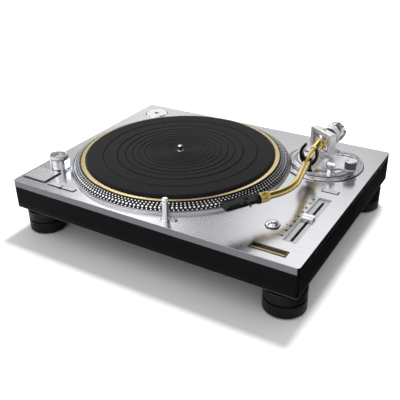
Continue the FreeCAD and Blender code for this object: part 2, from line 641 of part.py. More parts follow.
# Strobe tower, its lit window and the power dial on top
def make_tower():
    post_top = "tower_height + dial_gap + post_height"
    tower = turned("tower_turning", [
        ("0", "-tower_stem_depth"), ("tower_stem", "-tower_stem_depth"), ("tower_stem", "0"),
        ("tower_radius", "0"), ("tower_radius", "tower_height"), ("dial_post", "tower_height"),
        ("dial_post", post_top), ("0", post_top)], "tower_x", "tower_y", "deck_top")
    return cut("strobe_tower", tower, window_block("tower_notch", "0"))


def window_block(name, gap):
    """Block that stands in the tower's wall on the platter's side, with a gap all round."""
    near = "(tower_radius - window_depth + %s)" % gap
    side = "(window_width / 2 - %s)" % gap
    x = "tower_x + %s * cos(window_bearing) + %s * sin(window_bearing)" % (near, side)
    y = "tower_y + %s * sin(window_bearing) - %s * cos(window_bearing)" % (near, side)
    return block(name, "2 * window_depth", "window_width - 2 * %s" % gap, "window_height - 2 * %s" % gap,
                 x, y, over_deck("window_bottom + %s" % gap), "window_bearing")


def make_window():
    pane = window_block("window_pane", "window_gap")
    wall = cylinder("window_round", "tower_radius - window_sink", "tower_height", "tower_x", "tower_y",
                    "deck_top")
    common = doc.addObject("Part::MultiCommon", "strobe_window")
    common.Shapes = [pane, wall]
    return common


def make_power_dial():
    low = "tower_height + dial_gap"
    ceiling = low + " + post_height + post_clearance"
    bore = "dial_post + post_clearance"
    return turned("power_dial", [
        (bore, low), ("tower_radius - dial_chamfer", low), ("tower_radius", low + " + dial_chamfer"),
        ("tower_radius", low + " + dial_height - dial_chamfer"),
        ("tower_radius - dial_chamfer", low + " + dial_height"), ("0", low + " + dial_height"),
        ("0", ceiling), (bore, ceiling)], "tower_x", "tower_y", "deck_top")


# Pop-up lamp in its guide, and the button that lets it up
def make_lamp_guide():
    bore = "lamp_radius + lamp_clearance"
    return turned("lamp_guide", [
        (bore, "-guide_depth"), ("guide_radius", "-guide_depth"), ("guide_radius", "0"),
        ("guide_radius - edge_chamfer", "guide_rim"), (bore, "guide_rim")], "lamp_x", "lamp_y", "deck_top")


def make_lamp():
    return turned("pop_up_lamp", [
        ("0", "-lamp_tail"), ("lamp_radius", "-lamp_tail"), ("lamp_radius", "lamp_top - lamp_edge"),
        ("lamp_radius - lamp_edge", "lamp_top"), ("0", "lamp_top")], "lamp_x", "lamp_y", "deck_top")


def make_release():
    low = "release_top - button_depth"
    return turned("lamp_button", [
        ("0", low), ("release_radius", low), ("release_radius", "release_top - edge_chamfer"),
        ("release_radius - edge_chamfer", "release_top"), ("0", "release_top")],
        "release_x", "release_y", "deck_top")


# Flat push buttons
def make_button(name, x, y, width, length, top):
    body = plate(name, "button_depth", [rectangle("0", "0", width, length)],
                 x=x, y=y, z=over_deck(top + " - button_depth"))
    round_corners(body, "button_gap")
    return body


def make_speed_button(name, side):
    return make_button(name, "speed_x + %s * (speed_width + button_gap) / 2" % side, "speed_y",
                       "speed_width", "speed_length", "speed_top")


# Slider: sunken bed with a slot, and a metal knob that runs along it
def make_bed():
    width, length = "bed_width - 2 * bed_clearance", "bed_length - 2 * bed_clearance"
    body = plate("pitch_bed", "bed_thickness", [rectangle("0", "0", width, length)],
                 x="bed_x", y="bed_y", z=over_deck("-bed_thickness"))
    trough = rectangle("0", "0", width + " - 2 * bed_wall", length + " - 2 * bed_wall")
    pocket(body, "bed_trough", "bed_depth", [trough], level="bed_thickness")
    pocket(body, "bed_slot", "bed_thickness", [rectangle("0", "0", "slot_width", "slot_length")],
           level="bed_thickness")
    return body


def make_knob():
    floor = over_deck("knob_lift - bed_depth")
    bar = plate("pitch_bar", "knob_width", [[
        ("-knob_length / 2", "0"), ("knob_length / 2", "0"), ("knob_length / 2", "knob_shoulder"),
        ("knob_crest / 2", "knob_height"), ("-knob_crest / 2", "knob_height"),
        ("-knob_length / 2", "knob_shoulder")]], x="bed_x", y="bed_y", z=floor, turn="90", upright=True)
    neck = cylinder("pitch_neck", "knob_neck", "knob_neck_depth + overcut", "bed_x", "bed_y",
                    floor + " - knob_neck_depth")
    return fuse("pitch_knob", bar, neck)


# Record adaptor for large-hole discs, resting in its recess
def make_adaptor():
    hole = "spindle_radius + adaptor_hole_gap"
    top = "adaptor_height - recess_depth"
    return turned("disc_adaptor", [
        (hole, "-recess_depth"), ("adaptor_radius", "-recess_depth"),
        ("adaptor_radius", "adaptor_wall - recess_depth"), ("adaptor_radius - adaptor_slope", top),
        (hole + " + edge_chamfer", top), (hole, top + " - edge_chamfer")],
        "adaptor_x", "adaptor_y", "deck_top")


# Holder for a spare headshell, with the domed plug that closes it
def make_socket():
    floor = "socket_floor - socket_depth"
    return turned("shell_holder", [
        ("0", "-socket_depth"), ("socket_radius", "-socket_depth"),
        ("socket_radius", "socket_rim - edge_chamfer"), ("socket_radius - edge_chamfer", "socket_rim"),
        ("socket_bore", "socket_rim"),
        ("socket_bore", floor), ("0", floor)], "plug_x", "plug_y", "deck_top")


def make_plug():
    """Plug whose dome is a quarter of an ellipse turned round."""
    low = "socket_floor + plug_gap - socket_depth"
    dome = [("plug_radius * cos(%d)" % turn, "plug_dome * sin(%d)" % turn) for turn in (15, 30, 45, 60, 75)]
    return turned("holder_plug", [("0", low), ("plug_radius", low), ("plug_radius", "0")] + dome
                  + [("0", "plug_dome")], "plug_x", "plug_y", "deck_top")


def make_label():
    return middle_block("label_plate", "label_width", "label_length", "label_thickness",
                        "label_x", "label_y", over_deck("-label_recess"))


# Tonearm base: a polished flange cut away beside the platter, with a sleeve below it
def make_arm_base():
    low = over_deck("-boss_depth")
    disc = cylinder("arm_flange", "flange_radius", "flange_height", "base_x", "base_y", "deck_top")
    well = cylinder("flange_bite", "well_radius + bite_gap", "flange_height", "platter_x", "platter_y",
                    "deck_top")
    boss = cylinder("arm_boss", "boss_radius", "boss_depth + flange_height / 2", "base_x", "base_y", low)
    whole = fuse("arm_base_solid", cut("arm_flange_bitten", disc, well), boss)
    bore = cylinder("arm_base_bore", "sleeve_bore", "boss_depth + flange_height", "base_x", "base_y", low)
    return cut("arm_base_flange", whole, bore)


def make_height_ring():
    return turned("height_ring", [
        ("ring_inner", "ring_bottom"), ("ring_outer - ring_edge", "ring_bottom"),
        ("ring_outer", "ring_bottom + ring_edge"), ("ring_outer", "ring_top - ring_edge"),
        ("ring_outer - ring_edge", "ring_top"), ("ring_inner", "ring_top")], "base_x", "base_y", "deck_top")


# Platform that the ring raises: it carries the arm, its rest, its lifter and its small dials
def make_platform():
    lip = over_deck("platform_top - platform_lip")
    lid = cylinder("platform_lid", "platform_radius", "platform_top - ring_bottom", "base_x", "base_y",
                   over_deck("ring_bottom"))
    stem = cylinder("platform_stem_part", "platform_stem", "stem_depth + ring_bottom + overcut",
                    "base_x", "base_y", over_deck("-stem_depth"))
    skate_end = cylinder("skate_ear_end", "skate_ear", "platform_lip", "skate_x", "skate_y", lip)
    skate_arm = block("skate_ear_arm", "skate_x - base_x", "2 * skate_ear", "platform_lip",
                      "base_x", "skate_y - skate_ear", lip)
    rest_end = cylinder("rest_ear_end", "rest_ear", "platform_lip", "rest_x", "rest_y", lip)
    rest_arm = block("rest_ear_arm", "2 * rest_ear", "base_y - rest_y", "platform_lip",
                     "rest_x - rest_ear", "rest_y", lip)
    lug = block("cue_lug", "lug_width", "lug_length", "lug_top - platform_top",
                "cue_x - lug_width", "cue_y - lug_length / 2", over_deck("platform_top"))
    whole = fuse("platform_solid", lid, stem, skate_end, skate_arm, rest_end, rest_arm, lug)
    lifter_hole = cylinder("lifter_hole", "lifter_stem + pin_clearance", "lifter_hole_depth + overcut",
                           "stem_x", "stem_y", over_deck("platform_top - lifter_hole_depth"))
    skate_hole = cylinder("skate_hole", "pin_radius + pin_clearance", "platform_lip + 2 * overcut",
                          "skate_x", "skate_y", lip + " - overcut")
    lock_hole = cylinder("lock_hole", "pin_radius + pin_clearance", "lock_pin_depth + 2 * overcut",
                         "lock_x", "lock_y", over_deck("platform_top - lock_pin_depth - overcut"))
    cue_hole = lying_cylinder("cue_hole", "cue_pin + pin_clearance", "lug_width + 2 * overcut",
                              "cue_x - lug_width - overcut", "cue_y", over_deck("cue_height"),
                              FreeCAD.Vector(1, 0, 0))
    return cut("arm_platform", whole, lifter_hole, skate_hole, lock_hole, cue_hole)


def window_frame(width, height, bar, middle):
    """Outline of an upright frame and of the window in it, about a middle height."""
    half, tall = "(%s) / 2" % width, "(%s) / 2" % height
    outside = rectangle("0", middle, width, height)
    inside = [("%s - %s" % (bar, half), "%s + %s - %s" % (middle, bar, tall)),
              ("%s - %s" % (half, bar), "%s + %s - %s" % (middle, bar, tall)),
              ("%s - %s" % (half, bar), "%s + %s - %s" % (middle, tall, bar)),
              ("%s - %s" % (bar, half), "%s + %s - %s" % (middle, tall, bar))]
    return [outside, inside]


# Fixed yoke: an upright frame on a pillar, bored for the arm's upright pins and capped
def make_yoke():
    bottom, top = "axis_height - yoke_height / 2", "axis_height + yoke_height / 2"
    outlines = window_frame("yoke_width", "yoke_height", "yoke_bar", "axis_height")
    frame = plate("yoke_frame", "yoke_depth", outlines, x="pivot_x", y="pivot_y", z="deck_top",
                  turn="yoke_turn", upright=True)
    pillar = cylinder("yoke_pillar", "pillar_radius", bottom + " + yoke_bar - platform_top",
                      "pivot_x", "pivot_y", over_deck("platform_top"))
    bore_depth = "pin_reach + pin_end_gap"
    bore = cylinder("yoke_bore", "pin_radius + pin_clearance",
                    "yoke_height - 2 * yoke_bar + 2 * (%s)" % bore_depth, "pivot_x", "pivot_y",
                    over_deck(bottom + " + yoke_bar - (%s)" % bore_depth))
    cap = cylinder("yoke_cap", "cap_radius", "cap_height", "pivot_x", "pivot_y", over_deck(top))
    return cut("arm_yoke", fuse("yoke_solid", frame, pillar, cap), bore)


def across(start):
    """Place on the arm's level hinge line, at a distance beside the pivot."""
    return "pivot_x + (%s) * cos(yoke_turn)" % start, "pivot_y + (%s) * sin(yoke_turn)" % start, "axis_z"


def hinge_line():
    """Direction of the arm's level hinge, along the yoke's width."""
    turn = math.radians(value("yoke_turn"))
    return FreeCAD.Vector(math.cos(turn), math.sin(turn), 0)


# Gimbal ring, which swings on upright pins inside the yoke
def make_gimbal():
    outlines = window_frame("gimbal_width", "gimbal_height", "gimbal_bar", "0")
    frame = plate("gimbal_frame", "gimbal_depth", outlines, x="pivot_x", y="pivot_y", z="axis_z",
                  turn="yoke_turn", upright=True)
    reach = "(yoke_height / 2 - yoke_bar + pin_reach)"
    root = "(gimbal_height / 2 - gimbal_bar / 2)"
    top_pin = cylinder("gimbal_top_pin", "pin_radius", "%s - %s" % (reach, root), "pivot_x", "pivot_y",
                       "axis_z + " + root)
    low_pin = cylinder("gimbal_low_pin", "pin_radius", "%s - %s" % (reach, root), "pivot_x", "pivot_y",
                       "axis_z - " + reach)
    bore = lying_cylinder("gimbal_bore", "pin_radius + pin_clearance", "gimbal_width + 2 * overcut",
                          *across("-gimbal_width / 2 - overcut"), hinge_line())
    return cut("gimbal_ring", fuse("gimbal_solid", frame, top_pin, low_pin), bore)


# Arm hub: a ball on level pins inside the gimbal, with the rear shaft for the weight
def make_hub():
    ball = doc.addObject("Part::Sphere", "hub_ball_part")
    bind(ball, Radius="hub_ball")
    put(ball, "pivot_x", "pivot_y", "axis_z")
    pins = lying_cylinder("hub_pins", "pin_radius", "gimbal_width - gimbal_bar",
                          *across("(gimbal_bar - gimbal_width) / 2"), hinge_line())
    shaft = turned("rear_shaft_part", [
        ("0", "0"), ("rear_end", "0"), ("rear_end", "rear_shaft"), ("0", "rear_shaft")],
        "pivot_x", "pivot_y", "axis_z", "rear_turn", lying=True)
    inside = "tube_radius - tube_wall"
    spigot = turned("front_spigot", [
        ("-spigot_length", "0"), ("0", "0"), ("0", inside), ("-spigot_length", inside)],
        "pivot_x", "pivot_y", "axis_z", "tube_turn", lying=True)
    return fuse("arm_hub", ball, pins, shaft, spigot)


# Arm tube, an S in the flat: it sways outwards past its rest and then bends in towards the platter
def make_tube():
    body = doc.addObject("PartDesign::Body", "arm_tube")
    path = new_sketch(body, "tube_path")
    sway_cut = "sway_radius * tan(sway_angle / 2)"
    bend_cut = "bend_radius * tan(bend_angle / 2)"
    back, out, turn = "(%s - sway_at)" % sway_cut, "(bend_at - %s)" % bend_cut, "(bend_angle - sway_angle)"
    corner_x, corner_y = "bend_at * sin(sway_angle)", "(-sway_at - bend_at * cos(sway_angle))"
    points = [("0", "-tube_start"), ("0", back),
              (sway_cut + " * sin(sway_angle)", "-sway_at - %s * cos(sway_angle)" % sway_cut),
              (out + " * sin(sway_angle)", "-sway_at - %s * cos(sway_angle)" % out),
              ("%s - %s * sin%s" % (corner_x, bend_cut, turn), "%s - %s * cos%s" % (corner_y, bend_cut, turn)),
              ("%s - tube_end * sin%s" % (corner_x, turn), "%s - tube_end * cos%s" % (corner_y, turn))]
    spots = [FreeCAD.Vector(value(x), value(y), 0) for x, y in points]
    sway, bend = math.radians(value("sway_angle")), math.radians(value("bend_angle"))
    up, side = FreeCAD.Vector(0, 0, 1), FreeCAD.Vector(math.cos(sway), math.sin(sway), 0)
    outer = Part.Circle(spots[1] + FreeCAD.Vector(value("sway_radius"), 0, 0), up, value("sway_radius"))
    inner = Part.Circle(spots[3] - side * value("bend_radius"), up, value("bend_radius"))
    path.addGeometry(Part.LineSegment(spots[0], spots[1]))
    path.addGeometry(Part.ArcOfCircle(outer, math.pi, math.pi + sway))
    path.addGeometry(Part.LineSegment(spots[2], spots[3]))
    path.addGeometry(Part.ArcOfCircle(inner, sway - bend, sway))
    path.addGeometry(Part.LineSegment(spots[4], spots[5]))
    for first, end, second, start in ((0, 2, 1, 1), (1, 2, 2, 1), (2, 2, 3, 2), (3, 1, 4, 1)):
        path.addConstraint(Sketcher.Constraint("Tangent", first, end, second, start))
    for number, (line, end) in enumerate(((0, 1), (0, 2), (2, 1), (2, 2), (4, 1), (4, 2))):
        if number not in (3, 4):
            hold(path, "DistanceX", line, end, points[number][0])
        hold(path, "DistanceY", line, end, points[number][1])
    section = new_sketch(body, "tube_section", "XZ_Plane", "tube_start")
    add_circle(section, "0", "0", "tube_radius")
    add_circle(section, "0", "0", "tube_radius - tube_wall")
    pipe = body.newObject("PartDesign::AdditivePipe", "tube_sweep")
    pipe.Profile = section
    pipe.Spine = (path, ["Edge%d" % number for number in range(1, 6)])
    return put(body, "pivot_x", "pivot_y", "axis_z", "tube_turn")


def make_sleeve():
    inner = "tube_radius + sleeve_gap"
    flange_end = "-sleeve_start - sleeve_flange_width"
    return turned("tube_sleeve", [
        ("-sleeve_start", inner), ("-sleeve_start", "sleeve_flange"), (flange_end, "sleeve_flange"),
        (flange_end, "sleeve_radius"), ("sleeve_nose - sleeve_end", "sleeve_radius"),
        ("-sleeve_end", "sleeve_radius - sleeve_nose"), ("-sleeve_end", inner)],
        "pivot_x", "pivot_y", "axis_z", "tube_turn", lying=True)


# Counterweight on the rear shaft, hollowed at its back, with the force scale in front of it
def make_weight():
    bore = "rear_shaft + weight_clearance"
    groove_front = "(weight_start + weight_end - groove_width) / 2"
    groove_back = "(weight_start + weight_end + groove_width) / 2"
    hollow_end = "weight_end - weight_hollow_depth"
    return turned("counterweight", [
        ("weight_start", bore), ("weight_start", "weight_radius - weight_edge"),
        ("weight_start + weight_edge", "weight_radius"), (groove_front, "weight_radius"),
        (groove_front, "weight_radius - weight_groove"), (groove_back, "weight_radius - weight_groove"),
        (groove_back, "weight_radius"), ("weight_end - weight_chamfer", "weight_radius"),
        ("weight_end", "weight_radius - weight_chamfer"), ("weight_end", "weight_hollow"),
        (hollow_end, "weight_hollow"), (hollow_end, bore)],
        "pivot_x", "pivot_y", "axis_z", "rear_turn", lying=True)


def make_force_scale():
    bore = "rear_shaft + weight_clearance"
    back = "weight_start - scale_gap"
    return turned("force_scale", [
        ("scale_start", bore), ("scale_start", "scale_radius - scale_bevel"),
        ("scale_start + scale_bevel", "scale_radius"), (back, "scale_radius"), (back, bore)],
        "pivot_x", "pivot_y", "axis_z", "rear_turn", lying=True)


# Locking nut at the tube's end, and the headshell that it holds
def make_nut():
    end = "-nut_start - nut_length"
    bore = "tube_radius + pin_clearance"
    return turned("locking_nut", [
        ("-nut_start", bore), ("-nut_start", "nut_radius - nut_chamfer"),
        ("-nut_start - nut_slope", "nut_radius"), (end + " + nut_chamfer", "nut_radius"),
        (end, "nut_radius - nut_chamfer"), (end, bore)],
        "head_x", "head_y", "axis_z", "head_turn", lying=True)


def make_headshell():
    wide, nose, throat = "shell_width / 2", "shell_nose_width / 2", "shell_throat / 2"
    start, end = "(-shell_start - shell_neck_length)", "-shell_end"
    shoulder = start + " - shell_shoulder"
    body = plate("shell_deck", "shell_drop", [[
        ("-" + throat, start), ("-" + wide, shoulder), ("-" + nose, end), (nose, end), (wide, shoulder),
        (throat, start)]], x="head_x", y="head_y", z="axis_z + shell_rise - shell_drop", turn="head_turn")
    back, front = shoulder + " - shell_wall", end + " + shell_wall"
    pocket(body, "shell_hollow", "shell_drop - shell_thickness", [[
        ("shell_wall - " + wide, back), ("shell_wall - " + nose, front),
        (nose + " - shell_wall", front), (wide + " - shell_wall", back)]], upward=True)
    slots = [rectangle("%s * shell_slot_pitch / 2" % side, end + " + shell_slot_setback", "shell_slot_width",
                       "shell_slot_length") for side in ("-1", "1")]
    slots.append(rectangle("0", start + " - shell_window_setback", "shell_window_width",
                           "shell_window_length"))
    pocket(body, "shell_slots", "shell_thickness", slots, level="shell_drop")
    cone_end = "-shell_start - shell_cone_length"
    neck = turned("shell_neck", [
        (cone_end, "0"), ("shell_stub - shell_start", "0"),
        ("shell_stub - shell_start", "tube_radius"), ("-shell_start", "tube_radius"),
        ("-shell_start", "shell_collar"), ("-shell_start - shell_collar_length", "shell_collar"),
        (cone_end, "shell_cone_end")],
        "head_x", "head_y", "axis_z", "head_turn", lying=True)
    return fuse("headshell", body, neck)


# Hook at the headshell's side by which the arm is lifted, with its foot on the shell's deck
def make_finger():
    edge = "shell_width / 2"
    root = edge + " - finger_foot"
    tip = edge + " + finger_reach"
    middle = edge + " + finger_reach / 2"
    return plate("finger_lift", "finger_thickness", [[
        (root, "-finger_at"), (middle, "-finger_at"), (tip + " - edge_chamfer", "finger_sweep - finger_at"),
        (tip, "finger_sweep - finger_at - edge_chamfer"), (middle, "-finger_at - finger_width / 2"),
        (edge, "-finger_at - finger_width"), (root, "-finger_at - finger_width")]],
        x="head_x", y="head_y", z="axis_z + shell_rise", turn="head_turn")


# Arm rest: a post on the platform with an open springy clip around the tube
def make_rest_post():
    return cylinder("rest_post", "post_radius", "axis_height + clip_high - clip_half_height - platform_top",
                    "rest_x", "rest_y", over_deck("platform_top"))


def make_clip():
    """Open ring between two ellipses, its mouth upwards, with a foot that meets the post."""
    steps = range(CLIP_STEPS + 1)
    turns = ["(clip_start + %d * clip_sweep / %d)" % (step, CLIP_STEPS) for step in steps]
    outside = [("clip_half_width * cos(%s) - clip_left" % turn,
                "clip_high + clip_half_height * sin(%s)" % turn) for turn in turns]
    inside = [("grip_half_width * cos(%s) - grip_left" % turn,
               "grip_high + grip_half_height * sin(%s)" % turn) for turn in reversed(turns)]
    ring = plate("clip_ring", "clip_length", [outside + inside],
                 x="rest_x", y="rest_y", z="axis_z", turn="rest_turn", upright=True)
    foot = cylinder("clip_foot_part", "post_radius", "clip_foot", "rest_x", "rest_y",
                    "axis_z + clip_high - clip_half_height")
    return fuse("arm_clip", ring, foot)


# Lifter: a curved bar about the arm's upright pins, on a stem in the platform
def make_lifter():
    body = doc.addObject("PartDesign::Body", "lifter_bar")
    sketch = new_sketch(body, "lifter_section", "XZ_Plane")
    inner, outer = "lifter_at - lifter_width / 2", "lifter_at + lifter_width / 2"
    low = "lifter_top - lifter_height"
    add_outline(sketch, [(inner, low), (outer, low), (outer, "lifter_top"), (inner, "lifter_top")])
    sweep = body.newObject("PartDesign::Revolution", "lifter_sweep")
    sweep.Profile = sketch
    sweep.ReferenceAxis = (sketch, ["V_Axis"])
    bind(sweep, Angle="swing_range + 2 * lifter_margin")
    put(body, "pivot_x", "pivot_y", "deck_top", "tube_turn - 90 - swing_range - lifter_margin")
    stem = cylinder("lifter_stem_part", "lifter_stem", "%s + lifter_stem_depth - platform_top" % low,
                    "stem_x", "stem_y", over_deck("platform_top - lifter_stem_depth"))
    return fuse("arm_lifter", body, stem)


def make_skate_dial():
    low = "platform_top + ring_gap"
    root = "platform_top - platform_lip"
    return turned("anti_skate_dial", [
        ("0", root), ("pin_radius", root), ("pin_radius", low), ("skate_radius - edge_chamfer", low),
        ("skate_radius", low + " + edge_chamfer"), ("skate_radius", "skate_top - edge_chamfer"),
        ("skate_radius - edge_chamfer", "skate_top"), ("0", "skate_top")], "skate_x", "skate_y", "deck_top")


def make_cue_lever():
    centre = over_deck("cue_height")
    along = FreeCAD.Vector(1, 0, 0)
    hub = lying_cylinder("cue_hub_part", "cue_hub", "cue_hub_length", "cue_x + seat_clearance", "cue_y",
                         centre, along)
    pin = lying_cylinder("cue_pin_part", "cue_pin", "lug_width + overcut", "cue_x - lug_width", "cue_y",
                         centre, along)
    left = "cue_x + seat_clearance + cue_hub_length - cue_arm_width"
    low = centre + " - cue_arm_thickness / 2"
    arm = block("cue_arm", "cue_arm_width", "cue_reach", "cue_arm_thickness", left, "cue_y - cue_reach", low)
    tab = block("cue_tab_part", "cue_arm_width", "cue_tab", "cue_tab_drop + cue_arm_thickness", left,
                "cue_y - cue_reach", low + " - cue_tab_drop")
    return fuse("cue_lever", hub, pin, arm, tab)


def make_lock_lever():
    low = "platform_top + ring_gap"
    root = "platform_top - lock_pin_depth"
    top = low + " + lock_height"
    hub = turned("lock_hub", [
        ("0", root), ("pin_radius", root), ("pin_radius", low), ("lock_radius", low), ("lock_radius", top),
        ("0", top)], "lock_x", "lock_y", "deck_top")
    bar = block("lock_bar_part", "lock_reach", "lock_bar_width", "lock_bar", "lock_x",
                "lock_y - lock_bar_width / 2", over_deck(top + " - lock_bar"))
    return fuse("lock_lever", hub, bar)


# Folded back panel in its niche, with holes for what stands on it
def make_panel():
    left, right = "niche_x - niche_width / 2 + panel_gap", "niche_x + niche_width / 2 - panel_gap"
    back = "half_depth - chassis_wall"
    sheet_metal = plate("panel_fold", "chassis_height + plate_thickness - niche_top - 2 * panel_gap", [[
        (left, back), (left, "panel_y"), (right, "panel_y"), (right, back),
        (right + " - panel_thickness", back), (right + " - panel_thickness", "panel_face"),
        (left + " + panel_thickness", "panel_face"), (left + " + panel_thickness", back)]],
        z="chassis_bottom + panel_gap")
    tools = []
    for x in ("jack_offset", "jack_offset + jack_pitch", "earth_offset"):
        tools.append(lying_cylinder("panel_hole_%d" % len(tools), "jack_stub + hole_clearance",
                                    "panel_thickness + 2 * overcut", "niche_x + " + x, "panel_y - overcut",
                                    "terminal_z", FreeCAD.Vector(0, 1, 0)))
    tools.append(block("panel_window", "inlet_width - 2 * inlet_wall", "panel_thickness + 2 * overcut",
                       "inlet_height - 2 * inlet_wall", "inlet_x - inlet_width / 2 + inlet_wall",
                       "panel_y - overcut", "terminal_z - inlet_height / 2 + inlet_wall"))
    return cut("back_panel", sheet_metal, *tools)


def make_jacks():
    tail = "-jack_tail - panel_thickness"
    end = "jack_flange_width + jack_length"
    jacks = []
    for x in ("niche_x + jack_offset", "niche_x + jack_offset + jack_pitch"):
        jacks.append(turned("jack_%d" % len(jacks), [
            (tail, "jack_core"), (tail, "jack_stub"), ("0", "jack_stub"), ("0", "jack_flange"),
            ("jack_flange_width", "jack_flange"), ("jack_flange_width", "jack_radius"), (end, "jack_radius"),
            (end, "jack_bore"), ("jack_flange_width", "jack_bore"), ("jack_flange_width", "jack_core")],
            x, "panel_face", "terminal_z", lying=True))
    return group("signal_jacks", *jacks)


def make_earth():
    tail = "-jack_tail - panel_thickness"
    return turned("earth_post", [
        (tail, "0"), (tail, "jack_stub"), ("earth_neck", "jack_stub"), ("earth_neck", "earth_radius"),
        ("earth_length - earth_chamfer", "earth_radius"), ("earth_length", "earth_radius - earth_chamfer"),
        ("earth_length", "0")], "niche_x + earth_offset", "panel_face", "terminal_z", lying=True)


# Mains inlet behind the panel: an open cup with two blades for a loose lead
def make_inlet():
    back, low = "panel_y - inlet_length", "terminal_z - inlet_height / 2"
    left = "inlet_x - inlet_width / 2"
    shell = block("inlet_shell", "inlet_width", "inlet_length", "inlet_height", left, back, low)
    cavity = block("inlet_cavity", "inlet_width - 2 * inlet_wall", "inlet_length - inlet_floor + overcut",
                   "inlet_height - 2 * inlet_wall", left + " + inlet_wall", back + " + inlet_floor",
                   low + " + inlet_wall")
    blades = []
    for side in ("-1", "1"):
        x = "inlet_x + %s * blade_pitch / 2 - blade_width / 2" % side
        blades.append(block("blade_%d" % len(blades), "blade_width", "inlet_floor + blade_length",
                            "blade_height", x, back, "terminal_z - blade_height / 2"))
    return fuse("mains_inlet", cut("inlet_cup", shell, cavity), *blades)


# Control board on its standoffs, and the power supply, both on the base
def make_board():
    low = "chassis_bottom + standoff"
    pieces = [middle_block("board_sheet", "board_width", "board_length", "board_thickness", "board_x",
                           "board_y", low)]
    for side in ("-1", "1"):
        for end in ("-1", "1"):
            x = "board_x + %s * (board_width / 2 - standoff_inset)" % side
            y = "board_y + %s * (board_length / 2 - standoff_inset)" % end
            pieces.append(cylinder("standoff_%d" % len(pieces), "standoff_radius",
                                   "standoff + board_thickness / 2", x, y, "chassis_bottom"))
    for step in ("-1", "0", "1"):
        x = "board_x + %s * chip_pitch" % step
        pieces.append(middle_block("chip_%d" % len(pieces), "chip_width", "chip_length",
                                   "board_thickness / 2 + chip_height", x, "board_y",
                                   low + " + board_thickness / 2"))
    return fuse("control_board", *pieces)


def make_supply():
    case = middle_block("supply_case", "supply_width", "supply_length", "supply_height", "supply_x",
                        "supply_y", "chassis_bottom")
    vents = []
    for number in range(SIZES["vent_count"]):
        y = "supply_y + (%d - (vent_count - 1) / 2) * vent_pitch" % number
        vents.append(middle_block("supply_vent_%d" % number, "vent_width", "vent_length",
                                  "vent_depth + overcut", "supply_x", y,
                                  "chassis_bottom + supply_height - vent_depth"))
    return cut("power_supply", case, *vents)


NODES = [
    make_top_plate(), make_walls(), make_roof(), make_pot(), make_base(), make_skirt(),
    make_screws(),
    make_foot("foot_front_left", "-1", "-1"), make_foot("foot_front_right", "1", "-1"),
    make_foot("foot_back_left", "-1", "1"), make_foot("foot_back_right", "1", "1"),
    make_platter(), make_brass_plate(), make_mat(), make_spindle(), make_rotor(),
    make_bearing(), make_stator(), make_coils(),
    make_tower(), make_window(), make_power_dial(), make_lamp_guide(), make_lamp(), make_release(),
    make_button("start_stop_button", "start_x", "start_y", "start_width", "start_length", "start_top"),
    make_speed_button("speed_button_33", "-1"), make_speed_button("speed_button_45", "1"),
    make_button("reset_button", "reset_x", "reset_y", "reset_width", "reset_length", "reset_top"),
    make_bed(), make_knob(), make_adaptor(), make_socket(), make_plug(), make_label(),
    make_arm_base(), make_height_ring(), make_platform(), make_yoke(), make_gimbal(), make_hub(),
    make_tube(), make_sleeve(), make_weight(), make_force_scale(), make_nut(), make_headshell(),
    make_finger(), make_rest_post(), make_clip(), make_lifter(), make_skate_dial(), make_cue_lever(),
    make_lock_lever(), make_panel(), make_jacks(), make_earth(), make_inlet(), make_board(), make_supply(),
]

doc.recompute()
for piece in doc.Objects:
    if "Invalid" in piece.State or "Error" in piece.State:
        raise RuntimeError(piece.Name + " did not compute: " + str(piece.State))
for piece in NODES:
    if piece.Shape.isNull() or not piece.Shape.isValid() or not piece.Shape.Solids:
        raise RuntimeError(piece.Name + " has no sound shape")
    piece.Label = piece.Name

os.makedirs("parts", exist_ok=True)
for piece in NODES:
    piece.Shape.exportStep("parts/%s.step" % piece.Label)
    box = piece.Shape.BoundBox
    print("%-18s %2d solid(s) %10.1f mm3  x %.1f %.1f  y %.1f %.1f  z %.1f %.1f" % (
        piece.Label, len(piece.Shape.Solids), piece.Shape.Volume,
        box.XMin, box.XMax, box.YMin, box.YMax, box.ZMin, box.ZMax))
print(len(NODES), "nodes")
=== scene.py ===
# %% [markdown]
# # A record deck with a pivoted, curved arm
#
# The deck was drawn first as solids in CAD, to the tenth of a millimetre. This script loads those
# solids as a fixed frame and dresses them: real finishes, studio light, and the small shapes that
# make a drawing look like a made thing. Nothing is fitted by eye, because Blender and the CAD share
# one frame. Its origin is on the floor under the middle of the deck, +x is the right-hand side and
# the front faces -y.

# %% Load the solids
import math

import bmesh
import bpy
import numpy as np
from mathutils import Matrix, Vector


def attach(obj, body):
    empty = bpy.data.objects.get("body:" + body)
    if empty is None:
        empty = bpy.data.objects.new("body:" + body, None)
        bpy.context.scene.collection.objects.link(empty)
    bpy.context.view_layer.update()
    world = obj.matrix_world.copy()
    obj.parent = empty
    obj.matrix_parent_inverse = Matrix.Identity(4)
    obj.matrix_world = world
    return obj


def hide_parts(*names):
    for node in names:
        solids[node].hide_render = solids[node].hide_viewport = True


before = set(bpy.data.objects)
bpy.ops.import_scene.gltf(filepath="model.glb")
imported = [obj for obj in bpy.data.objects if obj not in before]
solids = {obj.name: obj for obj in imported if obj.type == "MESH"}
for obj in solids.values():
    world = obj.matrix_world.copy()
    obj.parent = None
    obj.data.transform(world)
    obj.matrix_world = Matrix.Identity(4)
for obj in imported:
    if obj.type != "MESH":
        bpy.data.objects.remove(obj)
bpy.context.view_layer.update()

# %% [markdown]
# The drawing's lengths are easiest to read in millimetres over the deck's top face, which stands
# 85.6 mm above the floor. One function turns such points into metres over the floor, so every
# number below can be checked with a ruler held on the deck.

# %% Millimetres over the deck
DECK_HEIGHT = 85.6


def over_deck(points):
    """Points in mm over the deck's top face, as metres over the floor: lift by the deck's height, then
    divide by a thousand."""
    return (np.asarray(points, float) + (0, 0, DECK_HEIGHT)) / 1000


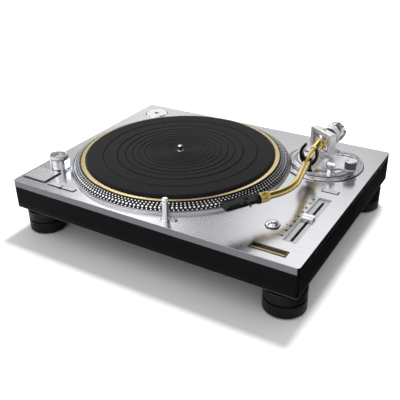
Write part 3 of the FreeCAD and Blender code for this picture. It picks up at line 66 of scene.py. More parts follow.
PLATTER = (-44.9, -2.1)
PIVOT = (143.14, 102.13, 32.0)
ARM_BASE = (151.0, 90.0)
print("arm pivot in metres", over_deck(PIVOT).round(4))

# %% [markdown]
# The camera stands to the right of the front and looks down on the deck at about thirty degrees. A
# product photographer uses a longish lens for this, so that the near corner isn't swollen. The
# camera's own three axes were solved from the corners of the plinth, and go straight into its
# matrix. It has no shift and no depth of field, so other views stay true.

# %% Camera
scene = bpy.context.scene
lens = bpy.data.cameras.new("camera")
lens.sensor_width = 36.0
lens.lens = 55.08
camera = bpy.data.objects.new("camera", lens)
scene.collection.objects.link(camera)
right, up, back = (0.855, 0.5182, -0.0226), (-0.2376, 0.4301, 0.8709), (0.461, -0.7392, 0.4909)
turn = Matrix((right, up, back)).transposed().to_4x4()
camera.matrix_world = Matrix.Translation(over_deck((430.11, -711.14, 409.26))) @ turn
scene.camera = camera
print("camera at", [round(v, 3) for v in camera.matrix_world.translation])

# %% [markdown]
# ## Tools for finishes
#
# Colours are written as the hex values that a painter would pick on a screen, and one function
# turns them into the linear numbers that light is worked out with. A second small function adds a
# node to a material, sets it and links it, whatever kind of node it is.

# %% Colour and nodes


def linear(hex_colour):
    """An sRGB hex colour as linear light: below 0.04045 divide by 12.92, above it add 0.055, divide by
    1.055 and raise to 2.4."""
    value = np.array([int(hex_colour[i:i + 2], 16) for i in (1, 3, 5)]) / 255
    light = np.where(value <= 0.04045, value / 12.92, ((value + 0.055) / 1.055) ** 2.4)
    return (*light.tolist(), 1.0)


def add_node(tree, kind, sockets=None, **settings):
    """Adds one node. Settings are its own properties. Sockets are its inputs, by name or number, each
    a plain value or another node's output to link. Returns its outputs."""
    made = tree.nodes.new("ShaderNode" + kind)
    for name, value in settings.items():
        setattr(made, name, value)
    for name, value in (sockets or {}).items():
        if isinstance(value, bpy.types.NodeSocket):
            tree.links.new(value, made.inputs[name])
        else:
            made.inputs[name].default_value = value
    return made.outputs


def new_finish(name, colour, roughness, metallic=0.0, shine=0.5):
    """A material with one Principled shader. Constants are set on the shader's own sockets."""
    finish = bpy.data.materials.new(name)
    finish.use_nodes = True
    shader = finish.node_tree.nodes["Principled BSDF"]
    for socket, value in {"Base Color": linear(colour), "Roughness": roughness, "Metallic": metallic,
                          "Specular IOR Level": shine}.items():
        shader.inputs[socket].default_value = value
    return finish, finish.node_tree, shader


print("mid grey is", round(linear("#808080")[0], 3), "in linear light")

# %% [markdown]
# Most finishes here are one of two kinds. A brushed or turned metal has strokes in one direction. A
# moulded or painted surface has a fine grain with no direction, and so has a polished one, where it
# is only a faint smear. Each kind is one function of its real sizes: a noise on Object coordinates,
# squeezed along the stroke, drives a little of the colour, the roughness and the bump together,
# because on the real surface one scratch changes all three.

# %% Two kinds of surface


def weather(tree, shader, noise, span, colours, roughness, relief, bump):
    """One noise drives colour and roughness: each goes from its first value at the span's low end to
    its second at the high end. The relief, a noise too, lifts the surface by up to bump mm."""
    spread = add_node(tree, "MapRange", {0: noise, 1: span[0], 2: span[1]})[0]
    tint = add_node(tree, "Mix", {0: spread, 6: linear(colours[0]), 7: linear(colours[1])},
                    data_type="RGBA")[2]
    rough = add_node(tree, "MapRange", {0: noise, 1: span[0], 2: span[1], 3: roughness[0],
                                        4: roughness[1]})[0]
    bent = add_node(tree, "Bump", {"Strength": 1.0, "Distance": bump / 1000, "Height": relief})[0]
    for output, socket in ((tint, "Base Color"), (rough, "Roughness"), (bent, "Normal")):
        tree.links.new(output, shader.inputs[socket])


def stroked(name, colour, dark, roughness, stroke, bump, centre=None, metallic=1.0):
    """Metal with strokes. Stroke is (length, width) in mm. With a centre the strokes run round it:
    the noise then reads the distance from the centre and the height, and only a little of the angle."""
    finish, tree, shader = new_finish(name, colour, roughness[0], metallic)
    place = add_node(tree, "TexCoord")["Object"]
    across = 1000 / stroke[1]
    if centre is None:
        size = (1000 / stroke[0], across, across)
        spot = add_node(tree, "Mapping", {"Vector": place, "Scale": size})[0]
    else:
        off = add_node(tree, "VectorMath", {0: place, 1: tuple(over_deck((*centre, 0)))},
                       operation="SUBTRACT")[0]
        flat = add_node(tree, "VectorMath", {0: off, 1: (1, 1, 0)}, operation="MULTIPLY")[0]
        reach = add_node(tree, "VectorMath", {0: flat}, operation="LENGTH")["Value"]
        x, y, z = add_node(tree, "SeparateXYZ", {0: off})
        angle = add_node(tree, "Math", {0: y, 1: x}, operation="ARCTAN2")[0]
        wide, high = (add_node(tree, "Math", {0: value, 1: across}, operation="MULTIPLY")[0]
                      for value in (reach, z))
        spot = add_node(tree, "CombineXYZ", {0: wide, 1: angle, 2: high})[0]
    noise = add_node(tree, "TexNoise", {"Vector": spot, "Scale": 1.0, "Detail": 3.0,
                                        "Roughness": 0.6})[0]
    weather(tree, shader, noise, (0.3, 0.7), (dark, colour), roughness[::-1], noise, bump)
    return finish


def grained(name, colour, second, roughness, grain, bump, shine=0.5, metallic=0.0):
    """A surface with an even grain of that many mm. A second, ten times larger noise gives the slow
    change in colour and sheen that keeps a moulded or painted face from looking printed."""
    finish, tree, shader = new_finish(name, colour, roughness[0], metallic, shine)
    place = add_node(tree, "TexCoord")["Object"]
    fine, slow = (add_node(tree, "TexNoise", {"Vector": place, "Scale": scale, "Detail": 2.0})[0]
                  for scale in (1000 / grain, 100 / grain))
    both = add_node(tree, "Mix", {0: 0.5, 2: fine, 3: slow})[0]
    weather(tree, shader, both, (0.35, 0.65), (colour, second), roughness, fine, bump)
    return finish


print("two kinds of surface: stroked and grained")

# %% [markdown]
# ## Metals
#
# The deck is a 10 mm aluminium plate, brushed from side to side and clear anodised: strokes a few
# hundredths of a millimetre wide and some centimetres long. At this picture's size they would
# vanish, so they are drawn 0.7 mm wide. Anisotropy spreads reflections across the strokes, which is
# why the arm shows in the deck only as a soft shape, and a Tangent node turns the strokes from side
# to side. Below the deck's top the plate's edge takes a darker colour: painted shade, standing for
# the shadowed floor that the edge mirrors.
#
# Chrome plate is nearly a mirror with faint polishing smears. The buttons and the trim round the
# platter are blasted and clear anodised, a finer and duller silver. The slider's bed, the yoke and
# the platform under it have pearl finishes: they are blasted before they are anodised or plated, so
# that they scatter light almost as paint does, and a metallic value below one gives that. The arm
# tube and the ring under the mat are gold anodised: the dye lies in a clear oxide layer, so the
# metal keeps its own shine and only the colour changes. The jacks at the back are gold plated brass,
# a deeper gold.
#
# The platter is a die casting turned on a lathe, and the disc under the arm is turned and then
# polished. Their strokes run round their own centres, so that a highlight opens like a fan. The dots
# on the rim are polished too, but in the picture they are only a pixel or two wide. They are drawn
# rougher than a mirror, so that each catches light from a wide part of the room.

# %% Metal finishes
brushed_aluminium = stroked("brushed aluminium, clear anodised", "#d4d4d7", "#cacace", (0.23, 0.24),
                            (60, 0.7), 0.0001)
tree = brushed_aluminium.node_tree
shader = tree.nodes["Principled BSDF"]
shader.inputs["Anisotropic"].default_value = 0.35
tangent = add_node(tree, "Tangent", direction_type="RADIAL", axis="X")
tree.links.new(tangent[0], shader.inputs["Tangent"])
height = add_node(tree, "SeparateXYZ", {0: add_node(tree, "TexCoord")["Object"]})[2]
# painted shade: below the deck's top the plate's edge takes the darker colour #828288
edge_shade = add_node(tree, "MapRange", {0: height, 1: (DECK_HEIGHT - 0.7) / 1000,
                                     2: (DECK_HEIGHT - 0.3) / 1000})[0]
face = shader.inputs["Base Color"].links[0].from_socket
edge = add_node(tree, "Mix", {0: edge_shade, 6: linear("#828288"), 7: face}, data_type="RGBA")
tree.links.new(edge[2], shader.inputs["Base Color"])
satin_aluminium = stroked("satin aluminium, clear anodised", "#d6d6d9", "#c2c2c6", (0.24, 0.34),
                          (12, 0.5), 0.006)
pearl_bed = stroked("pearl anodised aluminium", "#d4d5d8", "#c8c9cc", (0.35, 0.45), (20, 0.5), 0.004,
                    metallic=0.35)
platter_metal = stroked("die-cast aluminium, turned", "#c9c9cd", "#9d9da3", (0.2, 0.3), (40, 0.8),
                        0.02, centre=PLATTER)
mirror_dots = stroked("polished aluminium", "#f7f7f8", "#e6e6e9", (0.24, 0.34), (4, 0.6), 0.004)
base_metal = stroked("turned aluminium, polished", "#dadade", "#b8b8be", (0.08, 0.16), (60, 1.2),
                     0.012, centre=ARM_BASE)
chrome = grained("chrome plate on brass", "#e9e9ec", "#d9d9dd", (0.05, 0.1), 3.0, 0.004, metallic=1.0)
chrome_satin = grained("pearl chrome plate on zinc", "#f0f0f2", "#e2e2e5", (0.3, 0.4), 1.2, 0.006,
                       metallic=0.45)
gold_tube = grained("gold anodised aluminium tube", "#ebd38c", "#dcc173", (0.1, 0.15), 1.5, 0.004,
                    metallic=1.0)
gold_plate = stroked("gold anodised plate, turned", "#eedca8", "#dcc384", (0.16, 0.22), (60, 0.8),
                     0.004, centre=PLATTER)
gold_contact = grained("gold plated brass", "#d8b060", "#bf9646", (0.15, 0.25), 1.0, 0.006,
                       metallic=1.0)
print("metals:", brushed_aluminium.name, "and others")

# %% [markdown]
# ## Black and other surfaces
#
# The chassis is cast aluminium under satin black paint, with the faint orange peel of a sprayed
# coat. The base is a heavy black moulding compound, and the skirt under it is rubber. The feet are
# moulded too, and a little shinier. The mat is natural rubber, pressed and turned, which goes from
# black to charcoal where light grazes it. The enamel in the strobe band and the black anodised
# headshell have a soft sheen. Polished ABS, on the arm's clip and rest, has small sharp highlights,
# and the lacquered plate at the front right takes the same finish. Nylon, on sockets and the
# slider's stem, is dull, and the same black nylon is painted shade round the buttons, the plug and
# the arm's disc. The grip of the anti-skate knob and the face of the force scale are plain grey
# plastic, and the same grey, on the bead under the chassis, is a painted highlight.

# %% Dark finishes
satin_paint = grained("satin black paint on cast metal", "#121214", "#18181a", (0.45, 0.55), 0.9, 0.006,
                      0.05)
moulding = grained("black moulding compound", "#0c0c0e", "#101113", (0.45, 0.55), 1.2, 0.008, 0.1)
skirt_rubber = grained("black rubber, moulded", "#1b1c1e", "#242527", (0.6, 0.75), 0.8, 0.01)
foot_moulding = grained("black foot moulding", "#0f1012", "#161719", (0.34, 0.46), 0.8, 0.01, 0.28)
mat_rubber = grained("pressed rubber mat", "#161619", "#1d1d20", (0.5, 0.62), 0.7, 0.02, 0.1)
strobe_black = grained("black enamel in the strobe band", "#070709", "#0b0b0d", (0.3, 0.42), 0.8, 0.004,
                       0.15)
satin_black = grained("black anodised aluminium", "#101012", "#161619", (0.35, 0.45), 0.8, 0.006, 0.12)
gloss_black = grained("black ABS, polished", "#08080a", "#0c0c0e", (0.14, 0.22), 2.0, 0.002, 0.15)
# the same grey makes the bead under the chassis, where it is a painted highlight
grey_plastic_and_bead_highlight = grained("grey plastic, moulded, and painted highlight on the bead", "#626367", "#57585b", (0.4, 0.5), 0.8, 0.006)
# this black nylon is also painted shade round the buttons, the plug and the arm's disc
black_nylon_and_shade = grained("black nylon, moulded, and painted shade", "#111214", "#191a1c", (0.5, 0.6), 0.8, 0.01)
print("dark finishes:", satin_paint.name, "and others")

# %% [markdown]
# Inside there are zinc plated steel, dull sintered ferrite, copper wire under clear enamel, a green
# circuit board and painted sheet steel. Apart from the panel at the back and the screws underneath,
# they show only when the deck is taken apart.

# %% Finishes inside
steel = stroked("zinc plated steel", "#b7b9be", "#8f9299", (0.3, 0.42), (8, 0.8), 0.01)
magnet_grey = grained("sintered ferrite", "#3a3a3d", "#2b2b2e", (0.6, 0.75), 0.6, 0.02)
copper_wire = stroked("enamelled copper wire", "#b8643a", "#8a4424", (0.25, 0.4), (12, 0.6), 0.03)
board_green = grained("green circuit board", "#1d5a38", "#174a2e", (0.3, 0.45), 1.0, 0.006)
panel_steel = grained("painted sheet steel", "#1b1c1f", "#25262a", (0.45, 0.6), 0.8, 0.01)
print("finishes inside:", steel.name, "and others")

# %% [markdown]
# The strobe's window and the target lamp are lit from inside. A frosted lens in front of a lamp is
# brighter in its middle, and here a slow noise over a few millimetres stands for that. They give
# light themselves, so the rim's dots and the deck mirror the window in a cold blue.

# %% Lit lenses


def lit_lens(name, colour, glow, strength):
    """A frosted lens: a clear coat over a surface that gives its own light, in slow patches."""
    finish, tree, shader = new_finish(name, colour, 0.15)
    place = add_node(tree, "TexCoord")["Object"]
    patch = add_node(tree, "TexNoise", {"Vector": place, "Scale": 160.0, "Detail": 1.0})[0]
    spread = add_node(tree, "MapRange", {0: patch, 1: 0.3, 2: 0.7})[0]
    tint = add_node(tree, "Mix", {0: spread, 6: linear(glow), 7: linear("#ffffff")}, data_type="RGBA")
    tree.links.new(tint[2], shader.inputs["Emission Color"])
    shader.inputs["Emission Strength"].default_value = strength
    shader.inputs["Coat Weight"].default_value = 0.5
    return finish


strobe_light = lit_lens("frosted strobe lens, lit", "#dfe9f5", "#86b6f2", 3.0)
lamp_light = lit_lens("frosted lamp lens, lit", "#eef4fa", "#bcd8f8", 2.0)
print("lit lenses:", strobe_light.name, "and", lamp_light.name)

# %% [markdown]
# Each solid takes its finish here, also those that a finer shape replaces further down. The mesh is
# left alone, and only the material in its slot changes.

# %% Finishes on the solids
FINISHES = {
    brushed_aluminium: ["top_plate"],
    satin_aluminium: ["start_stop_button", "speed_button_33", "speed_button_45", "reset_button",
                      "arm_hub"],
    satin_paint: ["chassis_walls", "chassis_roof", "motor_pot"],
    moulding: ["base_plate"], skirt_rubber: ["rubber_base"],
    foot_moulding: ["foot_front_left", "foot_front_right", "foot_back_left", "foot_back_right"],
    platter_metal: ["platter"], gold_plate: ["brass_plate"], mat_rubber: ["platter_mat"],
    chrome: ["spindle", "strobe_tower", "power_dial", "lamp_guide", "pop_up_lamp", "lamp_button",
             "shell_holder", "holder_plug", "counterweight", "gimbal_ring", "arm_lifter", "cue_lever",
             "lock_lever", "anti_skate_dial", "disc_adaptor", "pitch_knob"],
    chrome_satin: ["arm_yoke", "arm_platform"], base_metal: ["arm_base_flange", "height_ring"],
    gold_tube: ["arm_tube", "tube_sleeve", "locking_nut"], gold_contact: ["signal_jacks", "earth_post"],
    satin_black: ["headshell", "finger_lift", "force_scale"],
    gloss_black: ["label_plate", "arm_clip", "rest_post"],
    pearl_bed: ["pitch_bed"], strobe_light: ["strobe_window"], black_nylon_and_shade: ["mains_inlet"],
    panel_steel: ["back_panel", "power_supply"], copper_wire: ["stator_coils"],
    steel: ["bearing_housing", "motor_stator", "base_screws"], magnet_grey: ["rotor_magnet"],
    board_green: ["control_board"],
}
for finish, names in FINISHES.items():
    for name in names:
        for slot in solids[name].material_slots:
            slot.material = finish
print("finished solids:", sum(len(names) for names in FINISHES.values()), "of", len(solids))

# %% [markdown]
# ## Tools for shapes
#
# A turned knob, a bent tube and a block with soft edges are all the same kind of thing: a grid of
# points with two parameters. Rows run along the profile or the path, and columns run round. One
# function takes such grids, joins them, closes the seam and the poles by merging doubles, turns
# every face outwards and sharpens only the edges that a machinist would leave crisp.

# %% From grids to a piece


def new_piece(name, grids, finishes, body, replaces=(), sharp=32):
    """Joins grids of points, in mm over the deck, into one mesh. Each face is the square between a
    point, its neighbour in the row, and the two below. Each grid takes the finish of its own place
    in the list, or the last one. Edges of more than sharp degrees stay crisp."""
    points, faces, marks, start = [], [], [], 0
    for number, grid in enumerate(grids):
        rows, columns = grid.shape[:2]
        index = start + np.arange(rows * columns).reshape(rows, columns)
        square = np.stack([index[:-1, :-1], index[:-1, 1:], index[1:, 1:], index[1:, :-1]], -1)
        points.append(grid.reshape(-1, 3))
        faces.append(square.reshape(-1, 4))
        marks.append(np.full(len(faces[-1]), min(number, len(finishes) - 1)))
        start += rows * columns
    mesh = bpy.data.meshes.new(name)
    mesh.from_pydata(over_deck(np.concatenate(points)).tolist(), [], np.concatenate(faces).tolist())
    mesh.polygons.foreach_set("material_index", np.concatenate(marks).astype(np.int32))
    for finish in finishes:
        mesh.materials.append(finish)
    work = bmesh.new()
    work.from_mesh(mesh)
    bmesh.ops.remove_doubles(work, verts=work.verts, dist=2e-6)
    bmesh.ops.dissolve_degenerate(work, edges=work.edges, dist=1e-7)
    bmesh.ops.recalc_face_normals(work, faces=work.faces)
    work.to_mesh(mesh)
    work.free()
    mesh.shade_smooth()
    mesh.set_sharp_from_angle(angle=math.radians(sharp))
    made = bpy.data.objects.new(name, mesh)
    scene.collection.objects.link(made)
    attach(made, body)
    if replaces:
        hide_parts(*replaces)
    print(f"{name}: {len(mesh.vertices)} points")


print("one function turns grids of points into a piece")

# %% [markdown]
# The shapes are built from a few moves on whole arrays of points. The first are for round things:
# points of a circle, a plan set at a height, a turn about the upright axis, and a lathe.

# %% Turned shapes


def unit(angle):
    """Points of the unit circle at these angles."""
    return np.stack([np.cos(angle), np.sin(angle)], -1)


def at_height(plan, height):
    """Points of a plan, all set at one height."""
    return np.column_stack([plan, np.full(len(plan), height)])


def spun(points, angle):
    """Points of two or three numbers, turned about the upright axis by an angle in radians."""
    c, s = math.cos(angle), math.sin(angle)
    turn = np.eye(points.shape[-1])
    turn[:2, :2] = (c, s), (-s, c)
    return points @ turn


def turned(profile, centre, steps, ribs=0, depth=0.0, rows=()):
    """A profile of (radius, height) turned once round a vertical axis: x is radius times cosine, y is
    radius times sine. Ribs are a cosine wave round it, taken off the radius on the chosen rows."""
    profile = np.asarray(profile, float)
    angle = np.linspace(0, 2 * np.pi, steps + 1)
    ribbed = np.isin(np.arange(len(profile)), rows)[:, None]
    radius = profile[:, :1] - depth * ribbed * (0.5 + 0.5 * np.cos(ribs * angle))
    height = np.repeat(profile[:, 1:], len(angle), 1)
    return np.stack([radius * np.cos(angle), radius * np.sin(angle), height], -1) + (*centre, 0)


def aimed(grid, origin, heading):
    """Lays a shape drawn round the z axis along a level heading, in degrees from straight forwards
    (-y) towards +x: local z becomes that direction, local x its right-hand side, and y stands up."""
    h = math.radians(heading)
    axes = [(-math.cos(h), -math.sin(h), 0), (0, 0, 1), (math.sin(h), -math.cos(h), 0)]
    return grid @ np.array(axes) + origin


def lathed(profile, steps, origin, heading, **ribs):
    """A turned shape whose axis lies along a heading."""
    return aimed(turned(profile, (0, 0), steps, **ribs), origin, heading)


print("(1, 0) after a quarter turn:", spun(np.array([(1, 0)]), math.pi / 2).round(2).tolist())

# %% [markdown]
# The others start from a closed outline, a circle or a rectangle with round corners. A slab stacks
# it up, and a tube carries it along a path. Small bars serve as marks and ticks.

# %% Outlines, slabs and paths


def circle(radius, steps):
    """Points round a closed circle."""
    return radius * unit(np.linspace(0, 2 * np.pi, steps + 1))


def outline(width, depth, corner, steps=6):
    """A rectangle with round corners, anticlockwise and closed: four quarter circles, each about its
    own corner's centre."""
    quarter = np.linspace(0, np.pi / 2, steps + 1)
    centre = np.array((width / 2 - corner, depth / 2 - corner))
    ring = np.concatenate([corner * unit(quarter + turn * np.pi / 2) + centre * sign
                           for turn, sign in enumerate([(1, 1), (-1, 1), (-1, -1), (1, -1)])])
    return np.concatenate([ring, ring[:1]])


def slab(width, depth, corner, low, high, edge, centre):
    """A flat block with a softened top edge: the outline is drawn in by one minus the cosine, and
    lifted by the sine, of a quarter turn. Both faces close on a point."""
    swing = np.linspace(0, np.pi / 2, 5)
    inset = np.concatenate([[0], edge * (1 - np.cos(swing))])
    level = np.concatenate([[low], high - edge + edge * np.sin(swing)])
    rings = [at_height(outline(width - 2 * i, depth - 2 * i, max(corner - i, 0.05)), z)
             for i, z in zip(inset, level)]
    tips = [rings[n] * (0, 0, 1) for n in (0, -1)]
    return np.array([tips[0], *rings, tips[1]]) + (*centre, 0)


def carried(path, section, grow=None):
    """A closed section carried along a path. At each point the section stands square to the path: its
    first number goes to the side, its second upwards. Grow scales it, and zero closes an end. Without
    it the section keeps its size and both ends close."""
    ahead = np.gradient(path, axis=0)
    ahead /= np.linalg.norm(ahead, axis=1)[:, None]
    side = np.cross(ahead, (0, 0, 1.0))
    side /= np.linalg.norm(side, axis=1)[:, None]
    rise = np.cross(side, ahead)
    grow = np.r_[0, np.ones(len(path) - 2), 0] if grow is None else grow
    flat = section * grow[:, None, None]
    return path[:, None] + flat[..., :1] * side[:, None] + flat[..., 1:] * rise[:, None]


def bars(middles, sizes, angles):
    """Small upright blocks, each turned about its own middle and moved there. Each is a grid of
    four rows of five corners: foot and head are drawn in to a point, and close it."""
    loop = np.array([(-1, -1), (1, -1), (1, 1), (-1, 1), (-1, -1)]) / 2
    return [np.array([at_height(spun(loop * size[:2], angle) * wide, size[2] * level)
                      for wide, level in ((0, -0.5), (1, -0.5), (1, 0.5), (0, 0.5))]) + middle
            for middle, size, angle in zip(middles, sizes, angles)]


print("a circle of four sides:", circle(1, 4).round(2).tolist())

# %% [markdown]
# ## Platter
#
# The rim of the platter slopes outwards and carries the strobe: four rows of raised, polished dots
# on black enamel. Under a lamp that flickers with the mains, one row seems to stand still when
# the speed is right. Each row has its own number of dots, so each stands for its own speed. The
# enamel is a thin ring on the slope. There are over seven hundred dots. Each is one small grid, a low
# cone of twelve sides with a nearly flat top, spun to its own place. Round all this a thin ring of
# satin aluminium trims the well that the platter turns in.

# %% Strobe band
SLOPE_TOP, SLOPE_FOOT = np.array((151.1, 13.2)), np.array((165.5, 5.2))
slope = (SLOPE_FOOT - SLOPE_TOP) / np.linalg.norm(SLOPE_FOOT - SLOPE_TOP)
outwards = np.array((-slope[1], slope[0]))
# each corner of the band's section: how far down the slope it is, and how far off it
band = [SLOPE_TOP + slope * run + outwards * lift for run, lift in
        ((0.1, -0.3), (0.1, 0.1), (16.2, 0.1), (16.2, -0.3), (0.1, -0.3))]
new_piece("strobe_band", [turned(band, PLATTER, 360)], [strobe_black], "platter")

# %% Well trim
trim = [(166.4, -2.0), (166.4, 3.5), (166.65, 3.9), (167.0, 3.7), (168.3, 0.4), (168.35, 0.05),
        (167.7, -2.0), (166.4, -2.0)]
new_piece("well_trim", [turned(trim, PLATTER, 360)], [satin_aluminium], "plinth")

# %% Strobe dots
# each row: its radius on the platter, the radius of a dot, and how many dots
DOT_ROWS = ((154.4, 0.95, 186), (157.2, 1.05, 180), (160.4, 1.5, 174), (163.7, 0.95, 169))


def dot_row(radius, size, count):
    """One row of dots: three rings, the foot, the shoulder and a tip with no width, stand square on
    the slope at that radius, and are spun to each of the row's angles. Each row starts at its own."""
    rings = np.array([at_height(circle(size * wide, 12), lift)
                      for wide, lift in ((1, 0.05), (0.85, 0.2), (0, 0.26))])
    across, down, lift = np.moveaxis(rings, -1, 0)
    foot = SLOPE_TOP + slope * (radius - SLOPE_TOP[0]) / slope[0] + outwards * 0.1
    reach, height = (foot[n] + down * slope[n] + lift * outwards[n] for n in (0, 1))
    dot = np.stack([reach, across, height], -1)
    angles = np.linspace(0, 2 * np.pi, count, endpoint=False) + 0.003 * count
    return [spun(dot, angle) + (*PLATTER, 0) for angle in angles]


dots = [dot for row in DOT_ROWS for dot in dot_row(*row)]
new_piece("strobe_dots", dots, [mirror_dots], "platter", sharp=0)

# %% [markdown]
# A mat is pressed rubber, and its face is turned with grooves, so that a record rests on narrow
# lands and dust has somewhere to go. Wide grooves divide it into zones, and fine ones fill the middle
# and the two outer zones. The face is a height over the radius: the mat's level, less one narrow
# bell for each groove.

# %% Mat with turned grooves
MAT_TOP, MAT_FOOT, MAT_RADIUS = 16.9, 13.2, 144.6
# each groove: its radius, its width and its depth
wide = ((117.2, 1.2, 1.3), (96.2, 1.4, 1.5), (83.2, 1.2, 1.3), (73.0, 1.2, 1.3), (63.0, 1.1, 1.2),
        (54.0, 1.2, 1.3), (47.2, 0.9, 1.0), (42.3, 0.9, 1.0), (38.0, 0.8, 0.9))
fine = [(r, 0.45, 0.35) for r in np.arange(13.0, 36.5, 2.35)]
fine += [(r, 0.4, 0.12) for r in np.arange(120.5, 140.0, 2.6)]
fine += [(r, 0.4, 0.1) for r in np.arange(99.5, 115.5, 2.6)]
grooves = np.array(list(wide) + fine)
near = np.concatenate([r + w * np.linspace(-1.6, 1.6, 7) for r, w in grooves[:, :2]])
reach = np.unique(np.round(np.concatenate([near, np.linspace(5.6, 141.2, 60)]), 2))
bells = np.exp(-((reach[:, None] - grooves[:, 0]) / (grooves[:, 1] * 0.6)) ** 4)
face = MAT_TOP - (bells * grooves[:, 2]).max(1)
profile = [(4.9, MAT_FOOT), (4.9, MAT_TOP - 0.5), (5.3, MAT_TOP), *zip(reach, face),
           (MAT_RADIUS, MAT_TOP - 2.4), (MAT_RADIUS, MAT_FOOT), (4.9, MAT_FOOT)]
new_piece("mat", [turned(profile, PLATTER, 180)], [mat_rubber], "platter", ["platter_mat"], sharp=60)

# %% [markdown]
# ## Controls at the front left
#
# The power switch is a ring that turns on top of the strobe's tower, milled round its edge so that a
# wet finger still turns it. Milling is a wave on the radius, thirty times round, only on the rows
# that make the side. The tower itself is a plain chromed post, so its drawn solid stays.

# %% Power dial
TOWER = (-190.8, -112.7)
dial = [(5.3, 18.3), (13.0, 18.3), (14.0, 18.9), (14.0, 22.4), (13.2, 23.2), (12.2, 23.2), (11.4, 22.6),
        (5.4, 22.4), (5.3, 22.3), (5.3, 18.3)]
new_piece("power_ring", [turned(dial, TOWER, 240, ribs=30, depth=0.5, rows=(2, 3))], [chrome],
          "power_dial", ["power_dial"])
post_cap = [(0, 20.6), (4.6, 20.6), (4.6, 21.0), (4.0, 21.4), (0, 21.6)]
new_piece("dial_centre", [turned(post_cap, TOWER, 48)], [satin_aluminium], "plinth")
mark = bars([(TOWER[0] - 6.6, TOWER[1] - 6.0, 22.55)], [(5.0, 0.7, 0.3)], [math.radians(42)])
new_piece("dial_mark", mark, [satin_black], "power_dial")

# %% [markdown]
# Each button stands in a milled opening, and a black nylon seal fills the gap and laps onto the
# deck: painted shade, standing for the dark gap and the shadow round the button. A seal is a flat
# ring with a lip: six rows of one rectangle with round corners, drawn out from the button's edge to
# the lip and back under it. The two speed buttons share one seal, and a short black bar parts them.
# The same shape makes a thin grey bead round the joint between the cast chassis and its skirt:
# painted highlight, standing for the light that the edge of the base catches there.

# %% Seals of painted shade round the buttons


def hoop(width, depth, corner, rows, centre=(0, 0)):
    """A ring that follows a rectangle with round corners. Each row is (growth, height): the rectangle
    is grown by the first number and stands at the second, and the last row repeats the first."""
    return np.array([at_height(outline(width + 2 * grow, depth + 2 * grow, corner + grow), level)
                     for grow, level in rows]) + (*centre, 0)


# painted shade: each seal's black lip on the deck stands for the dark gap and the shadow round the
# button
shade_seals = [hoop(width, depth, 0.5, ((0.1, -2.5), (0.1, 0.06), (lip, 0.06), (lip, -0.05), (0.45, -0.05),
                                  (0.45, -2.5), (0.1, -2.5)), centre)
         for width, depth, lip, centre in ((40, 32, 2.8, (-198.8, -143.6)),
                                           (46.5, 5.8, 1.8, (-146.5, -158.8)),
                                           (22.4, 7.5, 1.3, (191.8, 12.25)))]
new_piece("button_shade_seals", shade_seals, [black_nylon_and_shade], "plinth")
split = slab(1.7, 8.0, 0.3, -0.1, 1.5, 0.1, (-146.5, -159.6))
new_piece("button_split", [split], [black_nylon_and_shade], "plinth")
# painted highlight: the grey bead stands for the light that the edge of the base catches
highlight_bead_rows = ((-0.7, -43.0), (0.0, -43.22), (0.0, -44.0), (-0.3, -44.3), (-0.7, -44.3), (-0.7, -43.0))
new_piece("joint_bead_highlight", [hoop(453, 353, 4, highlight_bead_rows)], [grey_plastic_and_bead_highlight], "plinth")

# %% [markdown]
# The tower's lit side is a frosted lens bent round the post, wide enough to be seen from the front.
# The lamp near the front pops up and throws its light across the record. It is a turned chrome post
# with a groove under its head, a small bent lens that faces the platter, and a lit crown. That lens
# stands out by six hundredths of a millimetre only, because the post slides down into its guide.

# %% Lit side of the tower


def wrapped(centre, start, end, rows):
    """A lens bent round a post: each row of radius and height is swung from one bearing to another."""
    bearing = unit(np.radians(np.linspace(start, end, 16)))
    return np.array([at_height(radius * bearing + centre, height) for radius, height in rows])


window_rows = [(14.0, 3.6), (14.22, 3.9), (14.3, 4.4), (14.3, 15.6), (14.22, 16.1), (14.0, 16.4)]
new_piece("window_wrap", [wrapped(TOWER, -14, 44, window_rows)], [strobe_light], "plinth")

# %% Target lamp
LAMP = (33.6, -159.6)
shaft = [(0, -4.0), (4.7, -4.0), (4.7, 25.2), (4.35, 25.7), (4.35, 26.1), (4.7, 26.5), (4.7, 29.4),
         (4.1, 30.6), (3.0, 31.2), (0, 31.3)]
new_piece("target_lamp", [turned(shaft, LAMP, 64)], [chrome], "pop_up_lamp", ["pop_up_lamp"])
aim = math.degrees(math.atan2(PLATTER[1] - LAMP[1], PLATTER[0] - LAMP[0]))
lens_rows = [(4.6, 26.7), (4.74, 26.8), (4.76, 27.0), (4.76, 28.9), (4.74, 29.1), (4.6, 29.2)]
new_piece("lamp_lens", [wrapped(LAMP, aim - 24, aim + 24, lens_rows)], [lamp_light], "pop_up_lamp")
crown = [(0, 31.2), (2.1, 31.2), (2.1, 31.4), (0, 31.5)]
new_piece("lamp_crown", [turned(crown, LAMP, 32)], [lamp_light], "pop_up_lamp")

# %% [markdown]
# ## Speed slider
#
# The knob rides in a sunken bed and is shaped for a fingertip: two crests with a hollow between
# them. Its side view is one closed outline, drawn in at both ends so that its edges are soft. The
# bed is pale anodised metal, and its slot stays black, because no light reaches the hollow below.

# %% Slider knob
BED = (193.2, -70.5)
# the knob's side view, as forwards and upwards
side_view = np.array([(-5, -2.6), (-5, 0.6), (-4.7, 2.2), (-3.9, 4.2), (-3.2, 5.0), (-2.4, 5.2),
                      (-1.5, 4.7), (-0.4, 3.2), (0.4, 2.8), (1.4, 2.9), (2.4, 4.2), (3.2, 5.4),
                      (3.9, 5.6), (4.6, 4.4), (5, 0.6), (5, -2.6), (-5, -2.6)])
middle = np.array((0, 0.9))
